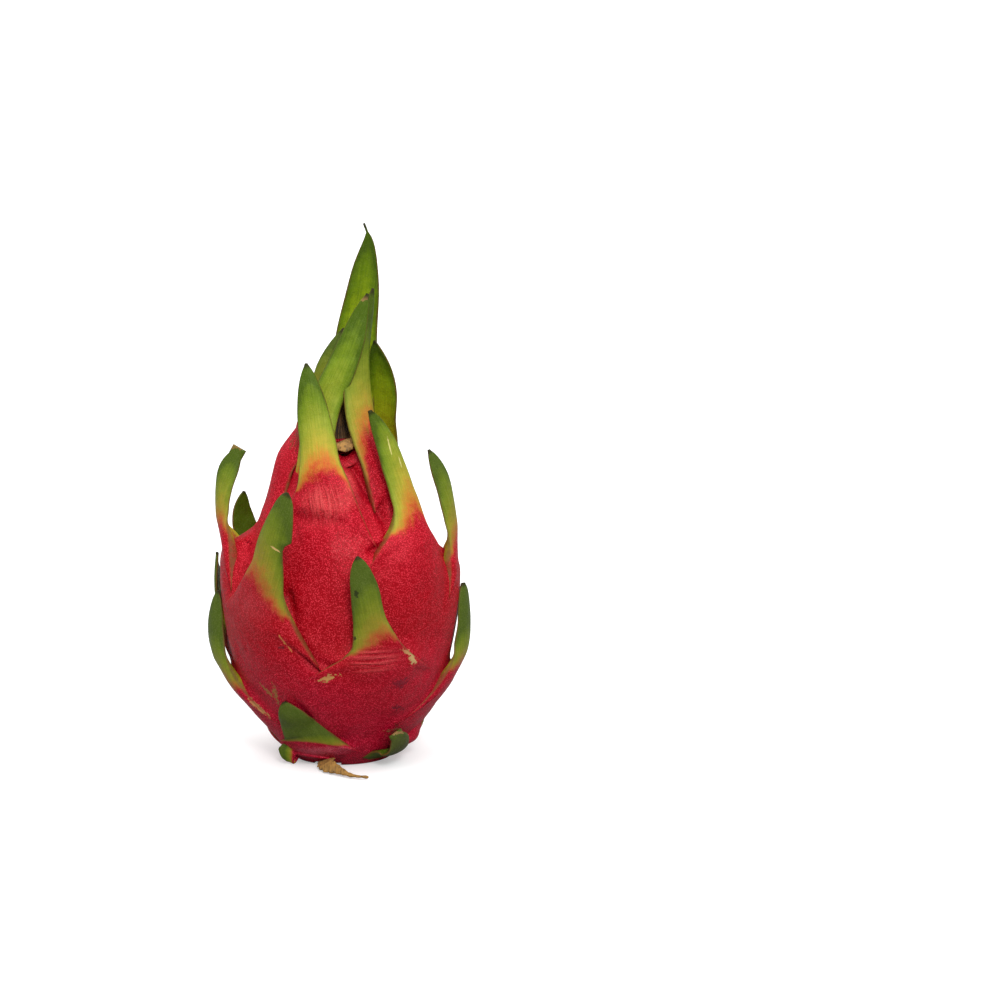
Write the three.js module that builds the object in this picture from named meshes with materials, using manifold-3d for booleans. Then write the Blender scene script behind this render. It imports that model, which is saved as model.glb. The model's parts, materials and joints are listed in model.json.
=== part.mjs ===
// A dragon fruit, standing on its base: the fruit with its peel scales grown as one piece,
// the withered flower in its navel, and the dry end of its stalk.
// Millimetres, +Z up along the fruit's axis, with z = 0 on the surface that it stands on.
// Azimuth is in degrees about the axis: 0 faces -Y, 90 faces +X.
import * as THREE from "three";
import { LoftGeometry } from "three/addons/geometries/LoftGeometry.js";
import { mergeVertices } from "three/addons/utils/BufferGeometryUtils.js";
import Module from "manifold-3d";

// ---------------------------------------------------------------- driving dimensions

// Height and radius of the bare skin, without the folds that the scales stand on.
const SKIN_PROFILE = [
  [0, 18],
  [4, 21],
  [10, 24.8],
  [18, 30.2],
  [27, 35.2],
  [38, 38.8],
  [49, 39.6],
  [60, 38.6],
  [70, 36],
  [79, 32.4],
  [87, 28.4],
  [94, 24.8],
  [101, 21.6],
  [108, 19],
  [115, 17],
  [122, 15.4],
];
const SKIN_HEIGHTS = [
  1.4, 4, 8, 12, 16.5, 21.5, 27, 33, 39, 45, 51, 57, 63, 68.5, 74, 79, 84, 88.5, 93, 97.5,
  102, 107, 112, 117, 122,
];
const SKIN_SIDES = 48;
const FOOT_OUTER = 18;
// The stalk's hollow, and its wall from the floor down: [share of depth, share of radius].
const STALK_HOLLOW = { mouth: 8.5, depth: 6 };
const STALK_HOLLOW_WALL = [[1, 0], [0.9, 0.75], [0.45, 0.95], [0, 1]];

// The navel, where the flower stood: its rim rolls in, and one side of it dips.
const NAVEL = { mouth: 10.2, wall: 9.2, top: 124, floor: 104 };
const NAVEL_RIM = [0.35, 0.8];
const NAVEL_LIP = { share: 0.97, drop: 2 };
const NAVEL_WALL = [[0.5, 1], [0.12, 0.95], [0, 0.7], [0, 0]];
const NAVEL_NOTCH = { azimuth: 10, half: 34, drop: 12.5 };

// The swell of skin under each scale: how far it reaches down, up and sideways.
const FOLD_BELOW = 22;
const FOLD_ABOVE = 6;
const FOLD_FADE = 9;

// A scale's flesh: thickness inside the fruit, up the middle of its blade, and at its margin.
const ROOT_THICKNESS = 5;
const BLADE_THICKNESS = { base: 3, end: 1.3, tip: 0.8 };
const MARGIN_THICKNESS = 0.9;

// How a scale is rooted: how far down the skin it starts, how deep it is sunk there, how
// proud its outer face stands, and how much of its length is still part of the fruit.
const ROOT_DEPTH = 13;
const SUNK = 2;
const LIP = 1.2;
const LIP_FALL = 1.6;
const ATTACHED_SHARE = 0.3;
const CUPPED_SHARE = 0.4;
const LOWEST_ROOT = 0.6;

// The outline of a scale: how fast its wings close in, and the curve of its blade.
const ROOT_NARROWING = 0.7;
const WING_CLOSING = 0.1;
const BLADE_CURVE = 2.7;
const BLADE_FULLNESS = 0.72;
const TIP_HALF_WIDTH = 0.5;

// Steps along a scale (negative below its root line, 1 at its tip) and across it.
const STEPS_ALONG = [-1, -0.5, 0, 0.07, 0.15, 0.26, 0.4, 0.56, 0.72, 0.87, 1];
const STEPS_ACROSS = [-1, -0.55, 0, 0.55, 1];
const LENGTH_STEPS = 40;

// Each scale on the side towards -Y. azimuth and root: where its root line crosses its middle.
// fold: how far the skin swells under it. wing: half width of its root line, whose ends droop
// and tilt. blade and cup: half width of the free blade, and the radius that it is bent to.
// facing: azimuth that the tip's outer face looks to. path: azimuth, radius and height of
// points up the middle of the blade, the last at its tip. Only where a scale differs from the
// rest, blunt: half width of its torn tip. fullness: how full its outline stays, lower being
// fuller. closing: how soon its wings close in above the root line.
const FRONT_SCALES = [
  {
    azimuth: 175, root: 112, fold: 2, wing: 14, droop: 6, tilt: 0, blade: 9.6, cup: 14, facing: 170,
    path: [[165, 15, 132], [154.5, 14, 152], [131, 12.5, 174], [115, 11.6, 188], [122, 10.6, 192.8]],
  },
  {
    azimuth: -27, root: 112, fold: 2, wing: 7.4, droop: 6, tilt: 0, blade: 7, cup: 10, facing: 0,
    path: [[-27, 13, 128], [20, 9.5, 149], [58, 12.5, 169]],
  },
  {
    azimuth: 55, root: 101, fold: 3.5, wing: 11, droop: 8, tilt: 0, blade: 8.4, cup: 11, facing: 38,
    path: [[46, 17.4, 118], [47, 12.3, 130], [65, 8.8, 146], [93, 12.5, 170]],
  },
  {
    azimuth: 130, root: 106, fold: 3, wing: 12, droop: 8, tilt: 0, blade: 9, cup: 12, facing: 150,
    path: [[124, 20, 121], [117, 18, 136], [110, 13.5, 151]],
  },
  {
    azimuth: -79, root: 92, fold: 0.6, wing: 14, droop: 10, tilt: 0, blade: 7.4, cup: 12, facing: -18,
    path: [[-70, 22.2, 109.5], [-62, 12, 123], [-59, 6.4, 142], [60, 2, 156]],
  },
  {
    azimuth: -136, root: 106, fold: 3, wing: 12, droop: 8, tilt: 0, blade: 6.6, cup: 12, facing: -136,
    path: [[-139, 16.5, 119], [-146, 13, 133], [-160, 9, 146]],
  },
  {
    azimuth: -7, root: 95, fold: 5.5, wing: 17, droop: 8, tilt: -5, blade: 8.6, cup: 10, facing: -12,
    path: [[-14, 27, 109], [-24.5, 20.5, 124], [-41, 17.2, 145]],
  },
  {
    azimuth: 49, root: 84, fold: 7, wing: 19, droop: 10, tilt: -1, blade: 7, cup: 9, facing: 36,
    path: [[49.5, 33, 98], [44.5, 27.9, 114], [27.5, 25.5, 129.5]], closing: 0.05,
  },
  {
    azimuth: 92, root: 71, fold: 5.6, wing: 16, droop: 12, tilt: 0, blade: 7.4, cup: 11, facing: 52,
    path: [[92, 41.8, 85], [91, 38.8, 98], [90, 32, 112]],
  },
  {
    azimuth: -93, root: 76, fold: 8, wing: 17, droop: 14, tilt: 0, blade: 7.6, cup: 12, facing: -25,
    path: [[-94, 45, 86], [-95, 43.6, 99], [-97, 36.8, 112]], blunt: 2.8,
  },
  {
    azimuth: -122, root: 68, fold: 3.5, wing: 13, droop: 10, tilt: 0, blade: 6.6, cup: 11, facing: -150,
    path: [[-122, 43.5, 77], [-121.5, 44.8, 85], [-122, 43.2, 93]],
  },
  {
    azimuth: -40, root: 58, fold: 5.5, wing: 23, droop: 10, tilt: -9, blade: 9.6, cup: 12, facing: -34,
    path: [[-33, 47, 74], [-25.6, 48, 92], [-21, 46, 103.8]], fullness: 0.52,
  },
  {
    azimuth: 20, root: 43, fold: 5, wing: 23, droop: 6, tilt: 0, blade: 7.4, cup: 9, facing: 15,
    path: [[16.4, 47, 55], [13, 48.5, 68], [9.6, 48, 82]], fullness: 0.6, closing: 0.07,
  },
  {
    azimuth: -107, root: 46, fold: 4, wing: 17, droop: 10, tilt: 0, blade: 7.5, cup: 11, facing: -90,
    path: [[-103, 47.2, 56], [-101, 47.4, 65], [-100, 46.6, 73]],
  },
  {
    azimuth: 86, root: 29, fold: 3.8, wing: 24, droop: 14, tilt: 0, blade: 8.4, cup: 11, facing: 57,
    path: [[86, 45.6, 39], [86, 46.3, 50], [85, 44.7, 64]],
  },
  {
    azimuth: -81, root: 28, fold: 4.6, wing: 17, droop: 12, tilt: 0, blade: 7.2, cup: 12, facing: -38,
    path: [[-83, 46.1, 38], [-85, 46.9, 48], [-86, 44.6, 61]],
  },
  {
    azimuth: -22, root: 11, fold: 3.2, wing: 16, droop: 5, tilt: 0, blade: 8, cup: 14, facing: -27,
    path: [[-26, 32.5, 15.5], [-28, 36, 20.5], [-31, 37.5, 26.5]],
  },
  {
    azimuth: -36, root: 4, fold: 3, wing: 12, droop: 1, tilt: 0, blade: 5.5, cup: 11, facing: -42,
    path: [[-41, 24.5, 4.8], [-47, 27, 5.4], [-51, 28.5, 6]],
  },
  {
    azimuth: 46, root: 3, fold: 3, wing: 8.4, droop: 0, tilt: 0, blade: 7.6, cup: 14, facing: 36,
    path: [[45.5, 29, 5], [42.5, 33, 9], [37, 33.8, 14]], blunt: 2.8,
  },
  {
    azimuth: 73, root: 4, fold: 2, wing: 9, droop: 0, tilt: 0, blade: 6, cup: 12, facing: 58,
    path: [[73, 27.8, 7], [73, 28.7, 11], [71, 29, 15]],
  },
];

const GROUND = { width: 200, depth: 20 };

// The withered flower, from the floor of the navel up: height, radius and depth of its ribs.
const FLOWER_PROFILE = [
  [104.4, 5.5, 0],
  [105.6, 7.1, 0.04],
  [110, 8.4, 0.04],
  [116, 8.4, 0.05],
  [119.5, 7.4, 0.12],
  [124, 5.4, 0.2],
  [130, 3.9, 0.25],
  [136, 2.6, 0.25],
  [141, 1.2, 0.2],
];
const FLOWER_SIDES = 20;
const STALK_SIDES = 10;
const STALK_RIB = 0.12;
const STRIP_THICKNESS = 1;
const FLOWER_HEIGHT = 38;
const FLOWER_LEAN = new THREE.Vector3(1.5, 0.8, 0);
const TEPAL_SCRAP = [
  { at: [1, -4.5, 113.4], half: 3.2, face: [0, -0.5, 1] },
  { at: [1.6, -8, 115.4], half: 3.6, face: [-0.1, -0.7, 1] },
  { at: [2.2, -11, 116.4], half: 3.7, face: [-0.25, -0.8, 1] },
  { at: [2.4, -13, 116], half: 3.2, face: [-0.3, -1.4, 1] },
  { at: [1.8, -14.3, 114.4], half: 1.6, face: [-0.3, -2, 1] },
];

// The dry stalk: its stub in the hollow, and the strip that lies in the channel.
const STALK_CHANNEL = { azimuth: -15, width: 10, start: 4, length: 26, height: 5.2 };
const STALK_STUB = [
  [1.2, 3.4],
  [2.4, 5],
  [4.2, 4.6],
  [5, 3],
];
const STALK_STRIP = [
  { at: [-0.6, -2, 2.6], half: 2.4, face: [0, -0.2, 1] },
  { at: [-2.6, -9, 2.2], half: 2.8, face: [0, -0.2, 1] },
  { at: [-4.4, -16, 2.1], half: 3.2, face: [-0.2, -0.4, 1] },
  { at: [-5, -23, 2.6], half: 3.2, face: [-0.4, -1, 1] },
  { at: [-3.8, -28.5, 2.6], half: 2.8, face: [-0.3, -1.6, 1] },
  { at: [0, -32.6, 2], half: 1.6, face: [0, -1.6, 1] },
  { at: [5, -37, 1.2], half: 0.8, face: [0, -0.6, 1] },
  { at: [11, -40, 1.2], half: 0.4, face: [0, -0.4, 1] },
];
const STRIP_SECTION = [
  [-1, 0.7],
  [0, 1],
  [1, 0.7],
  [1, -0.7],
  [0, -1],
  [-1, -0.7],
];

// ---------------------------------------------------------------- small helpers

const { degToRad, lerp, smoothstep, clamp, seededRandom } = THREE.MathUtils;

function turned(from, to) {
  return THREE.MathUtils.euclideanModulo(to - from + 180, 360) - 180;
}

function atAzimuth(azimuth, radius, z) {
  const a = degToRad(azimuth);
  return new THREE.Vector3(radius * Math.sin(a), -radius * Math.cos(a), z);
}

// A smooth curve through [place, value] pairs, with slopes taken from the neighbours.
function throughPoints(pairs, x) {
  const last = pairs.length - 1;
  let i = pairs.findIndex((p) => p[0] > x) - 1;
  if (i < 0) i = x < pairs[0][0] ? 0 : last - 1;
  const slope = (k) => {
    const a = pairs[Math.max(k - 1, 0)];
    const b = pairs[Math.min(k + 1, last)];
    return (b[1] - a[1]) / (b[0] - a[0]);
  };
  const [x0, y0] = pairs[i];
  const [x1, y1] = pairs[i + 1];
  const h = x1 - x0;
  const t = clamp((x - x0) / h, 0, 1);
  const t2 = t * t;
  const t3 = t2 * t;
  return (
    (2 * t3 - 3 * t2 + 1) * y0 +
    (t3 - 2 * t2 + t) * h * slope(i) +
    (3 * t2 - 2 * t3) * y1 +
    (t3 - t2) * h * slope(i + 1)
  );
}

// ---------------------------------------------------------------- the skin

// Height of the root line beside its middle: both wings droop, and the line may tilt.
function rootLine(scale, across) {
  const share = clamp(across / scale.wing, -1.2, 1.2);
  return scale.tilt * share - scale.droop * share * share;
}

// How far one scale's fold lifts the skin. With `held`, it stays full above the root line.
function foldOf(scale, azimuth, z, held) {
  const across = degToRad(turned(scale.azimuth, azimuth)) * throughPoints(SKIN_PROFILE, z);
  const up = z - scale.root - rootLine(scale, across);
  const reach = up < 0 ? FOLD_BELOW : FOLD_ABOVE;
  const along = held && up > 0 ? 1 : Math.exp(-((up / reach) ** 2));
  return scale.fold * along * Math.exp(-((across / scale.wing) ** 2));
}

// The skin's radius at an azimuth and a height. The folds fade out at the flat foot.
function skinRadius(azimuth, z, own) {
  const squares = SCALES.reduce((sum, s) => sum + foldOf(s, azimuth, z, s === own) ** 2, 0);
  return throughPoints(SKIN_PROFILE, z) + Math.sqrt(squares) * smoothstep(z, 0, FOLD_FADE);
}

function ring(radiusAt, heightAt) {
  const points = [];
  for (let i = 0; i < SKIN_SIDES; i++) {
    const azimuth = (360 * i) / SKIN_SIDES;
    points.push(atAzimuth(azimuth, radiusAt(azimuth), heightAt(azimuth)));
  }
  return points;
}

function plainRing(radius, z) {
  return ring(() => radius, () => z);
}

function notched(azimuth, z) {
  const dip = Math.exp(-((turned(NAVEL_NOTCH.azimuth, azimuth) / NAVEL_NOTCH.half) ** 2));
  return z - NAVEL_NOTCH.drop * dip * smoothstep(z, NAVEL.floor, NAVEL.top);
}

// The fruit without its scales, from the floor of the stalk's hollow, over the flat foot and
// the skin, to the floor of the navel.
function makeBody() {
  const { mouth, depth } = STALK_HOLLOW;
  const top = SKIN_HEIGHTS.at(-1);
  const rim = (azimuth) => skinRadius(azimuth, top);
  const rings = [
    ...STALK_HOLLOW_WALL.map(([up, out]) => plainRing(mouth * out, depth * up)),
    plainRing(FOOT_OUTER, 0),
    ...SKIN_HEIGHTS.map((z) => ring((a) => skinRadius(a, z), (a) => notched(a, z))),
    ...NAVEL_RIM.map((k) => ring((a) => lerp(rim(a), NAVEL.mouth, k), (a) => notched(a, NAVEL.top))),
    ring(() => NAVEL.mouth * NAVEL_LIP.share, (a) => notched(a, NAVEL.top - NAVEL_LIP.drop)),
    ...NAVEL_WALL.map(([up, out]) => plainRing(NAVEL.wall * out, lerp(NAVEL.floor, NAVEL.top, up))),
  ];
  return new LoftGeometry(rings);
}

// ---------------------------------------------------------------- the scales

// Scales on the side away from -Y, in rows that climb as the ones in front do. Each row's
// places are turned, raised and leant by a seeded draw.
const BACK_ROWS = [
  { root: 8, azimuths: [112, 178, -118], fold: 3.5, wing: 15, droop: 4, blade: 6.5, length: 18, lean: 7 },
  { root: 30, azimuths: [130, 170, -148], fold: 5, wing: 20, droop: 12, blade: 7.4, length: 36, lean: 6 },
  { root: 62, azimuths: [154, -166], fold: 5, wing: 18, droop: 12, blade: 7.6, length: 40, lean: 2 },
  { root: 88, azimuths: [164, -146], fold: 5, wing: 16, droop: 11, blade: 7.6, length: 42, lean: -6 },
];
const BACK_SEED = 11;
const BACK_CUP = 12;
const BACK_SPREAD = { azimuth: 5, root: 3, length: 0.12, lean: 1.5, sway: 7, tilt: 2 };
const BACK_STATIONS = [0.33, 0.67, 1];

function backScales() {
  seededRandom(BACK_SEED);
  const spread = (size) => (seededRandom() - 0.5) * 2 * size;
  return BACK_ROWS.flatMap((row) =>
    row.azimuths.map((middle) => {
      const azimuth = middle + spread(BACK_SPREAD.azimuth);
      const root = row.root + spread(BACK_SPREAD.root) * smoothstep(row.root, 5, 30);
      const length = row.length * (1 + spread(BACK_SPREAD.length));
      const start = throughPoints(SKIN_PROFILE, root) + row.fold;
      const lean = row.lean + spread(BACK_SPREAD.lean);
      const sway = spread(BACK_SPREAD.sway);
      const path = BACK_STATIONS.map((u) => {
        const followed = throughPoints(SKIN_PROFILE, root + (length * u) / 2) - start;
        const radius = start + lean * Math.sin(2 * u) + (followed * u * u) / 2;
        return [azimuth + sway * u, radius, root + length * u];
      });
      const tilt = spread(BACK_SPREAD.tilt);
      return { ...row, azimuth, root, path, tilt, cup: BACK_CUP, facing: azimuth + sway / 2 };
    }),
  );
}

const SCALES = [...FRONT_SCALES, ...backScales()];

// Half width along a scale: the wings close in fast above the root line, then the blade
// narrows slowly to its tip.
function halfWidth(scale, u) {
  if (u <= 0) return lerp(scale.wing, scale.wing * ROOT_NARROWING, -u);
  const blade = scale.blade * (1 - u ** BLADE_CURVE) ** (scale.fullness ?? BLADE_FULLNESS);
  const wings = (scale.wing - scale.blade) * Math.exp(-u / (scale.closing ?? WING_CLOSING));
  return Math.max(blade + wings, scale.blunt ?? TIP_HALF_WIDTH);
}

// The line up the middle of a scale's outer face. It climbs the skin to the root line and goes
// on through the blade's path; 0 is at the root line and 1 at the tip, by length.
function centreline(scale) {
  const below = Math.min(ROOT_DEPTH, scale.root - 1) / 2;
  const on = (z) => atAzimuth(scale.azimuth, skinRadius(scale.azimuth, z, scale) + LIP, z);
  const path = scale.path.map((p) => atAzimuth(...p));
  const points = [on(scale.root - below), on(scale.root), ...path];
  const curve = new THREE.CatmullRomCurve3(points, false, "centripetal");
  const lengths = curve.getLengths(LENGTH_STEPS * (points.length - 1));
  const start = lengths[LENGTH_STEPS] / lengths.at(-1);
  return {
    at: (u) => curve.getPointAt(lerp(start, 1, u)),
    along: (u) => curve.getTangentAt(lerp(start, 1, u)),
  };
}

// The middle of a scale at u: its place, the directions along, across and out of it, and how
// far it has lifted off the skin.
function frameAt(scale, line, u) {
  const centre = line.at(u);
  const along = line.along(u);
  const facing = atAzimuth(scale.azimuth + turned(scale.azimuth, scale.facing) * u, 1, 0);
  const lateral = new THREE.Vector3().crossVectors(along, facing).normalize();
  const outward = new THREE.Vector3().crossVectors(lateral, along);
  const azimuth = THREE.MathUtils.radToDeg(Math.atan2(centre.x, -centre.y));
  const lifted = Math.hypot(centre.x, centre.y) - skinRadius(azimuth, centre.z, scale) - LIP;
  return { centre, lateral, outward, azimuth, lifted };
}

// A point of the scale where it is still one with the skin, t of the half width across it,
// and the point inside the fruit behind it.
function rootedPoints(scale, frame, u, half, t) {
  const buried = Math.max(-u, 0);
  const depth = Math.min(ROOT_DEPTH, scale.root - 1);
  const middle = u < 0 ? scale.root - depth * buried : frame.centre.z;
  const z = Math.max(middle + rootLine(scale, t * half) * (1 - buried), LOWEST_ROOT);
  const turn = THREE.MathUtils.radToDeg((t * half) / throughPoints(SKIN_PROFILE, z));
  const azimuth = frame.azimuth + turn;
  const lift = u < 0 ? 0 : frame.lifted * (1 - t * t);
  const rise = lerp(LIP * (1 - LIP_FALL * t ** 4), -SUNK, buried);
  const radius = skinRadius(azimuth, z, scale) + lift + rise;
  return [atAzimuth(azimuth, radius, z), atAzimuth(azimuth, radius - ROOT_THICKNESS, z)];
}

// The same two points where the scale stands free, bent round its own cup.
function standingPoints(scale, frame, u, half, t) {
  const skinBend = throughPoints(SKIN_PROFILE, scale.root);
  const bend = lerp(skinBend, scale.cup, smoothstep(u, 0, CUPPED_SHARE));
  const angle = (t * half) / bend;
  const normal = frame.outward.clone().multiplyScalar(Math.cos(angle));
  normal.addScaledVector(frame.lateral, Math.sin(angle));
  const outer = frame.centre.clone().addScaledVector(frame.outward, -bend);
  outer.addScaledVector(normal, bend);
  const { base, end, tip } = BLADE_THICKNESS;
  const up = Math.max(u, 0);
  const thickest = Math.max(lerp(lerp(base, end, up), tip, up ** 4), MARGIN_THICKNESS);
  const thickness = lerp(MARGIN_THICKNESS, thickest, 1 - t * t);
  return [outer, outer.clone().addScaledVector(normal, -thickness)];
}

// One cross-section of a scale as a closed loop: its outer face from one margin to the
// other, then its inner face back.
function scaleSection(scale, line, u) {
  const half = halfWidth(scale, u);
  const free = smoothstep(u, 0, ATTACHED_SHARE);
  const frame = frameAt(scale, line, Math.max(u, 0));
  const pairs = STEPS_ACROSS.map((t) => {
    const standing = standingPoints(scale, frame, u, half, t);
    return rootedPoints(scale, frame, u, half, t).map((p, i) => p.lerp(standing[i], free));
  });
  return [...pairs.map((pair) => pair[0]), ...pairs.map((pair) => pair[1]).reverse()];
}

// A section drawn together at its middle, which closes an end of a loft.
function closedEnd(section) {
  const middle = section.reduce((sum, p) => sum.add(p), new THREE.Vector3());
  middle.divideScalar(section.length);
  return section.map(() => middle);
}

function makeScale(scale) {
  const line = centreline(scale);
  const sections = STEPS_ALONG.map((u) => scaleSection(scale, line, u));
  return new LoftGeometry([closedEnd(sections[0]), ...sections, closedEnd(sections.at(-1))]);
}

// ---------------------------------------------------------------- joining and cutting

// Vertices nearer than the first are one; the joined fruit keeps no edge under the second.
const MERGE_WITHIN = 1e-4;
const SMALLEST_EDGE = 0.01;

const wasm = await Module();
wasm.setup();

function toSolid(geometry) {
  const bare = new THREE.BufferGeometry().copy(geometry);
  bare.deleteAttribute("normal");
  bare.deleteAttribute("uv");
  const merged = mergeVertices(bare, MERGE_WITHIN);
  return new wasm.Manifold(
    new wasm.Mesh({
      numProp: 3,
      vertProperties: merged.attributes.position.array,
      triVerts: new Uint32Array(merged.index.array),
    }),
  );
}

function toGeometry(solid) {
  const { vertProperties, triVerts } = solid.getMesh();
  const geometry = new THREE.BufferGeometry();
  geometry.setAttribute("position", new THREE.BufferAttribute(vertProperties, 3));
  geometry.setIndex(new THREE.BufferAttribute(triVerts, 1));
  geometry.computeVertexNormals();
  return geometry;
}

// ---------------------------------------------------------------- the dry remnants

// A thin strip along a path: thickest along its middle, with blunt margins. Each step holds
// its place, its half width and the direction that its face looks in.
function strip(steps) {
  const curve = new THREE.CatmullRomCurve3(steps.map((step) => new THREE.Vector3(...step.at)));
  const sections = steps.map((step, i) => {
    const u = i / (steps.length - 1);
    const along = curve.getTangent(u);
    const face = new THREE.Vector3(...step.face);
    const side = new THREE.Vector3().crossVectors(along, face).normalize();
    const out = new THREE.Vector3().crossVectors(side, along);
    const place = curve.getPoint(u);
    return STRIP_SECTION.map(([across, through]) =>
      place
        .clone()
        .addScaledVector(side, across * step.half)
        .addScaledVector(out, (through * STRIP_THICKNESS) / 2),
    );
  });
  return new LoftGeometry([closedEnd(sections[0]), ...sections, closedEnd(sections.at(-1))]);
}

// The old flower: a fibrous plug that fills the navel, drawn together above it into a dry,
// ribbed cone, with one papery scrap curled out over the low part of the rim.
function makeFlowerRemnant() {
  const rings = FLOWER_PROFILE.map(([z, radius, rib]) => {
    const points = [];
    for (let i = 0; i < FLOWER_SIDES; i++) {
      const ribbed = radius * (1 - (i % 2) * rib);
      const lean = ((z - NAVEL.floor) / FLOWER_HEIGHT) ** 2;
      points.push(atAzimuth((360 * i) / FLOWER_SIDES, ribbed, z).addScaledVector(FLOWER_LEAN, lean));
    }
    return points;
  });
  const cone = new LoftGeometry([closedEnd(rings[0]), ...rings, closedEnd(rings.at(-1))]);
  return toSolid(cone).add(toSolid(strip(TEPAL_SCRAP)));
}

// The end of the stalk: a stub in the hollow of the base, with a torn strip of its skin that
// runs out through the channel, sinks to the surface and curls along it.
function makeStalkRemnant() {
  const rings = STALK_STUB.map(([z, radius]) =>
    Array.from({ length: STALK_SIDES }, (_, i) =>
      atAzimuth((360 * i) / STALK_SIDES, radius * (1 - (i % 2) * STALK_RIB), z),
    ),
  );
  const stub = new LoftGeometry([closedEnd(rings[0]), ...rings, closedEnd(rings.at(-1))]);
  return toSolid(stub).add(toSolid(strip(STALK_STRIP)));
}

// ---------------------------------------------------------------- the object

const peel = new THREE.MeshStandardMaterial({ color: 0xb8122f, roughness: 0.45, metalness: 0 });
const witheredTepal = new THREE.MeshStandardMaterial({ color: 0x8a6a3c, roughness: 0.9, metalness: 0 });
const dryStalk = new THREE.MeshStandardMaterial({ color: 0x9a7a44, roughness: 0.9, metalness: 0 });

// The channel that the dry stalk lies in, from its hollow out through the foot.
const { width, start, length, height } = STALK_CHANNEL;
const channel = new THREE.BoxGeometry(width, length, height * 2);
channel.translate(0, -length / 2 - start, 0);
channel.rotateZ(degToRad(STALK_CHANNEL.azimuth));

// Everything under the surface that the fruit stands on, which presses its lowest scales flat.
const ground = new THREE.BoxGeometry(GROUND.width, GROUND.width, GROUND.depth);
ground.translate(0, 0, -GROUND.depth / 2);

const fruitSolid = SCALES.reduce(
  (solid, scale) => solid.add(toSolid(makeScale(scale))),
  toSolid(makeBody()),
)
  .subtract(toSolid(channel))
  .subtract(toSolid(ground))
  .simplify(SMALLEST_EDGE);

const pieces = [
  ["fruit", fruitSolid, peel],
  ["flower_remnant", makeFlowerRemnant(), witheredTepal],
  ["stalk_remnant", makeStalkRemnant(), dryStalk],
];

const dragonFruit = new THREE.Group();
for (const [name, solid, material] of pieces) {
  const mesh = new THREE.Mesh(toGeometry(solid), material);
  mesh.name = name;
  dragonFruit.add(mesh);
}

export default dragonFruit;
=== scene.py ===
# %% [markdown]
# # A dragon fruit
# A whole ripe dragon fruit stands upright on its blunt base. Its peel is one skin that swells
# into folds, and out of each fold grows a pointed scale, red at its root and green at its tip.
# A withered flower fills the navel between the top scales, and a dry scrap of stalk is left
# underneath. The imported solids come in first, because every finer surface has to fit them.

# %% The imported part
import json
import math
import bpy
import numpy as np
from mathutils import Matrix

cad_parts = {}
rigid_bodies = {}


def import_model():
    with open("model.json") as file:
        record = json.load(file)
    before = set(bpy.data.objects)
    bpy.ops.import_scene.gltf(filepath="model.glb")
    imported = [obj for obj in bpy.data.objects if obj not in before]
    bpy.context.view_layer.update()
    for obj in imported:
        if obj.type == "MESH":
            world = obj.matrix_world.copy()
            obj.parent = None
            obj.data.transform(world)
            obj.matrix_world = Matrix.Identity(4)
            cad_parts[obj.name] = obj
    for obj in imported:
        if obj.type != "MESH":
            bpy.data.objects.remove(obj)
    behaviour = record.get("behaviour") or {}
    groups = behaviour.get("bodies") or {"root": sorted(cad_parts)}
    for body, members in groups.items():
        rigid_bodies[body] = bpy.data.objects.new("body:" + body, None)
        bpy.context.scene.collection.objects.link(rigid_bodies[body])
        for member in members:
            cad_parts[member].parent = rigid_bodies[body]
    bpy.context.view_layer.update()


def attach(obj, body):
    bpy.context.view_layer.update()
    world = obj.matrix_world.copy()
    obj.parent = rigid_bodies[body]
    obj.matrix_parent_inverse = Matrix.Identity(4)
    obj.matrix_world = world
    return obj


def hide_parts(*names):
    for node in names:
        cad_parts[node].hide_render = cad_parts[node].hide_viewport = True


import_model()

# %% [markdown]
# ## The camera
# The fruit is seen from the front and a little above, through a long lens, so that its sides
# stay nearly parallel. The camera is placed by a distance and a height angle from the point
# that it looks at. That point is to the right of the fruit, which puts the fruit left of the
# middle of the picture.

# %% Camera
AIM = np.array([0.05742, 0.0, 0.0936])
DISTANCE = 1.2
ELEVATION = math.radians(10)
LENS_MM = 120.0
SENSOR_MM = 36.0
NEAREST = 0.05

camera = bpy.data.objects.new("camera", bpy.data.cameras.new("camera"))
bpy.context.scene.collection.objects.link(camera)
camera.data.lens = LENS_MM
camera.data.sensor_width = SENSOR_MM
camera.data.clip_start = NEAREST
camera.location = AIM + DISTANCE * np.array([0, -math.cos(ELEVATION), math.sin(ELEVATION)])
camera.rotation_euler = (math.pi / 2 - ELEVATION, 0, 0)
bpy.context.scene.camera = camera
print("camera at", [round(c, 3) for c in camera.location])

# %% [markdown]
# ## Directions and smooth steps
# The fruit grows round a vertical axis, so places on it are easiest to give as an azimuth, a
# radius and a height. Azimuth 0 faces the camera and 90 is to the right. All lengths are in
# millimetres until they go into a mesh. Every helper here takes whole arrays at once, which
# keeps a mesh of a hundred thousand points quick to work out.

# %% Small helpers
MM = 0.001


def smoothstep(x, low, high):
    """0 below low, 1 above high, and the curve 3s^2 - 2s^3 between them."""
    s = np.clip((x - low) / (high - low), 0, 1)
    return s * s * (3 - 2 * s)


def lerp(a, b, share):
    """a where share is 0, b where it is 1, and in proportion between."""
    return a + (b - a) * share


def turned(start, end):
    """The turn from one azimuth to another, between -180 and 180 degrees."""
    return (end - start + 180) % 360 - 180


def at_azimuth(azimuth, radius, z):
    """A point at (radius sin azimuth, -radius cos azimuth, z)."""
    a = np.radians(azimuth)
    return np.stack(np.broadcast_arrays(radius * np.sin(a), -radius * np.cos(a), z), axis=-1)


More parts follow.
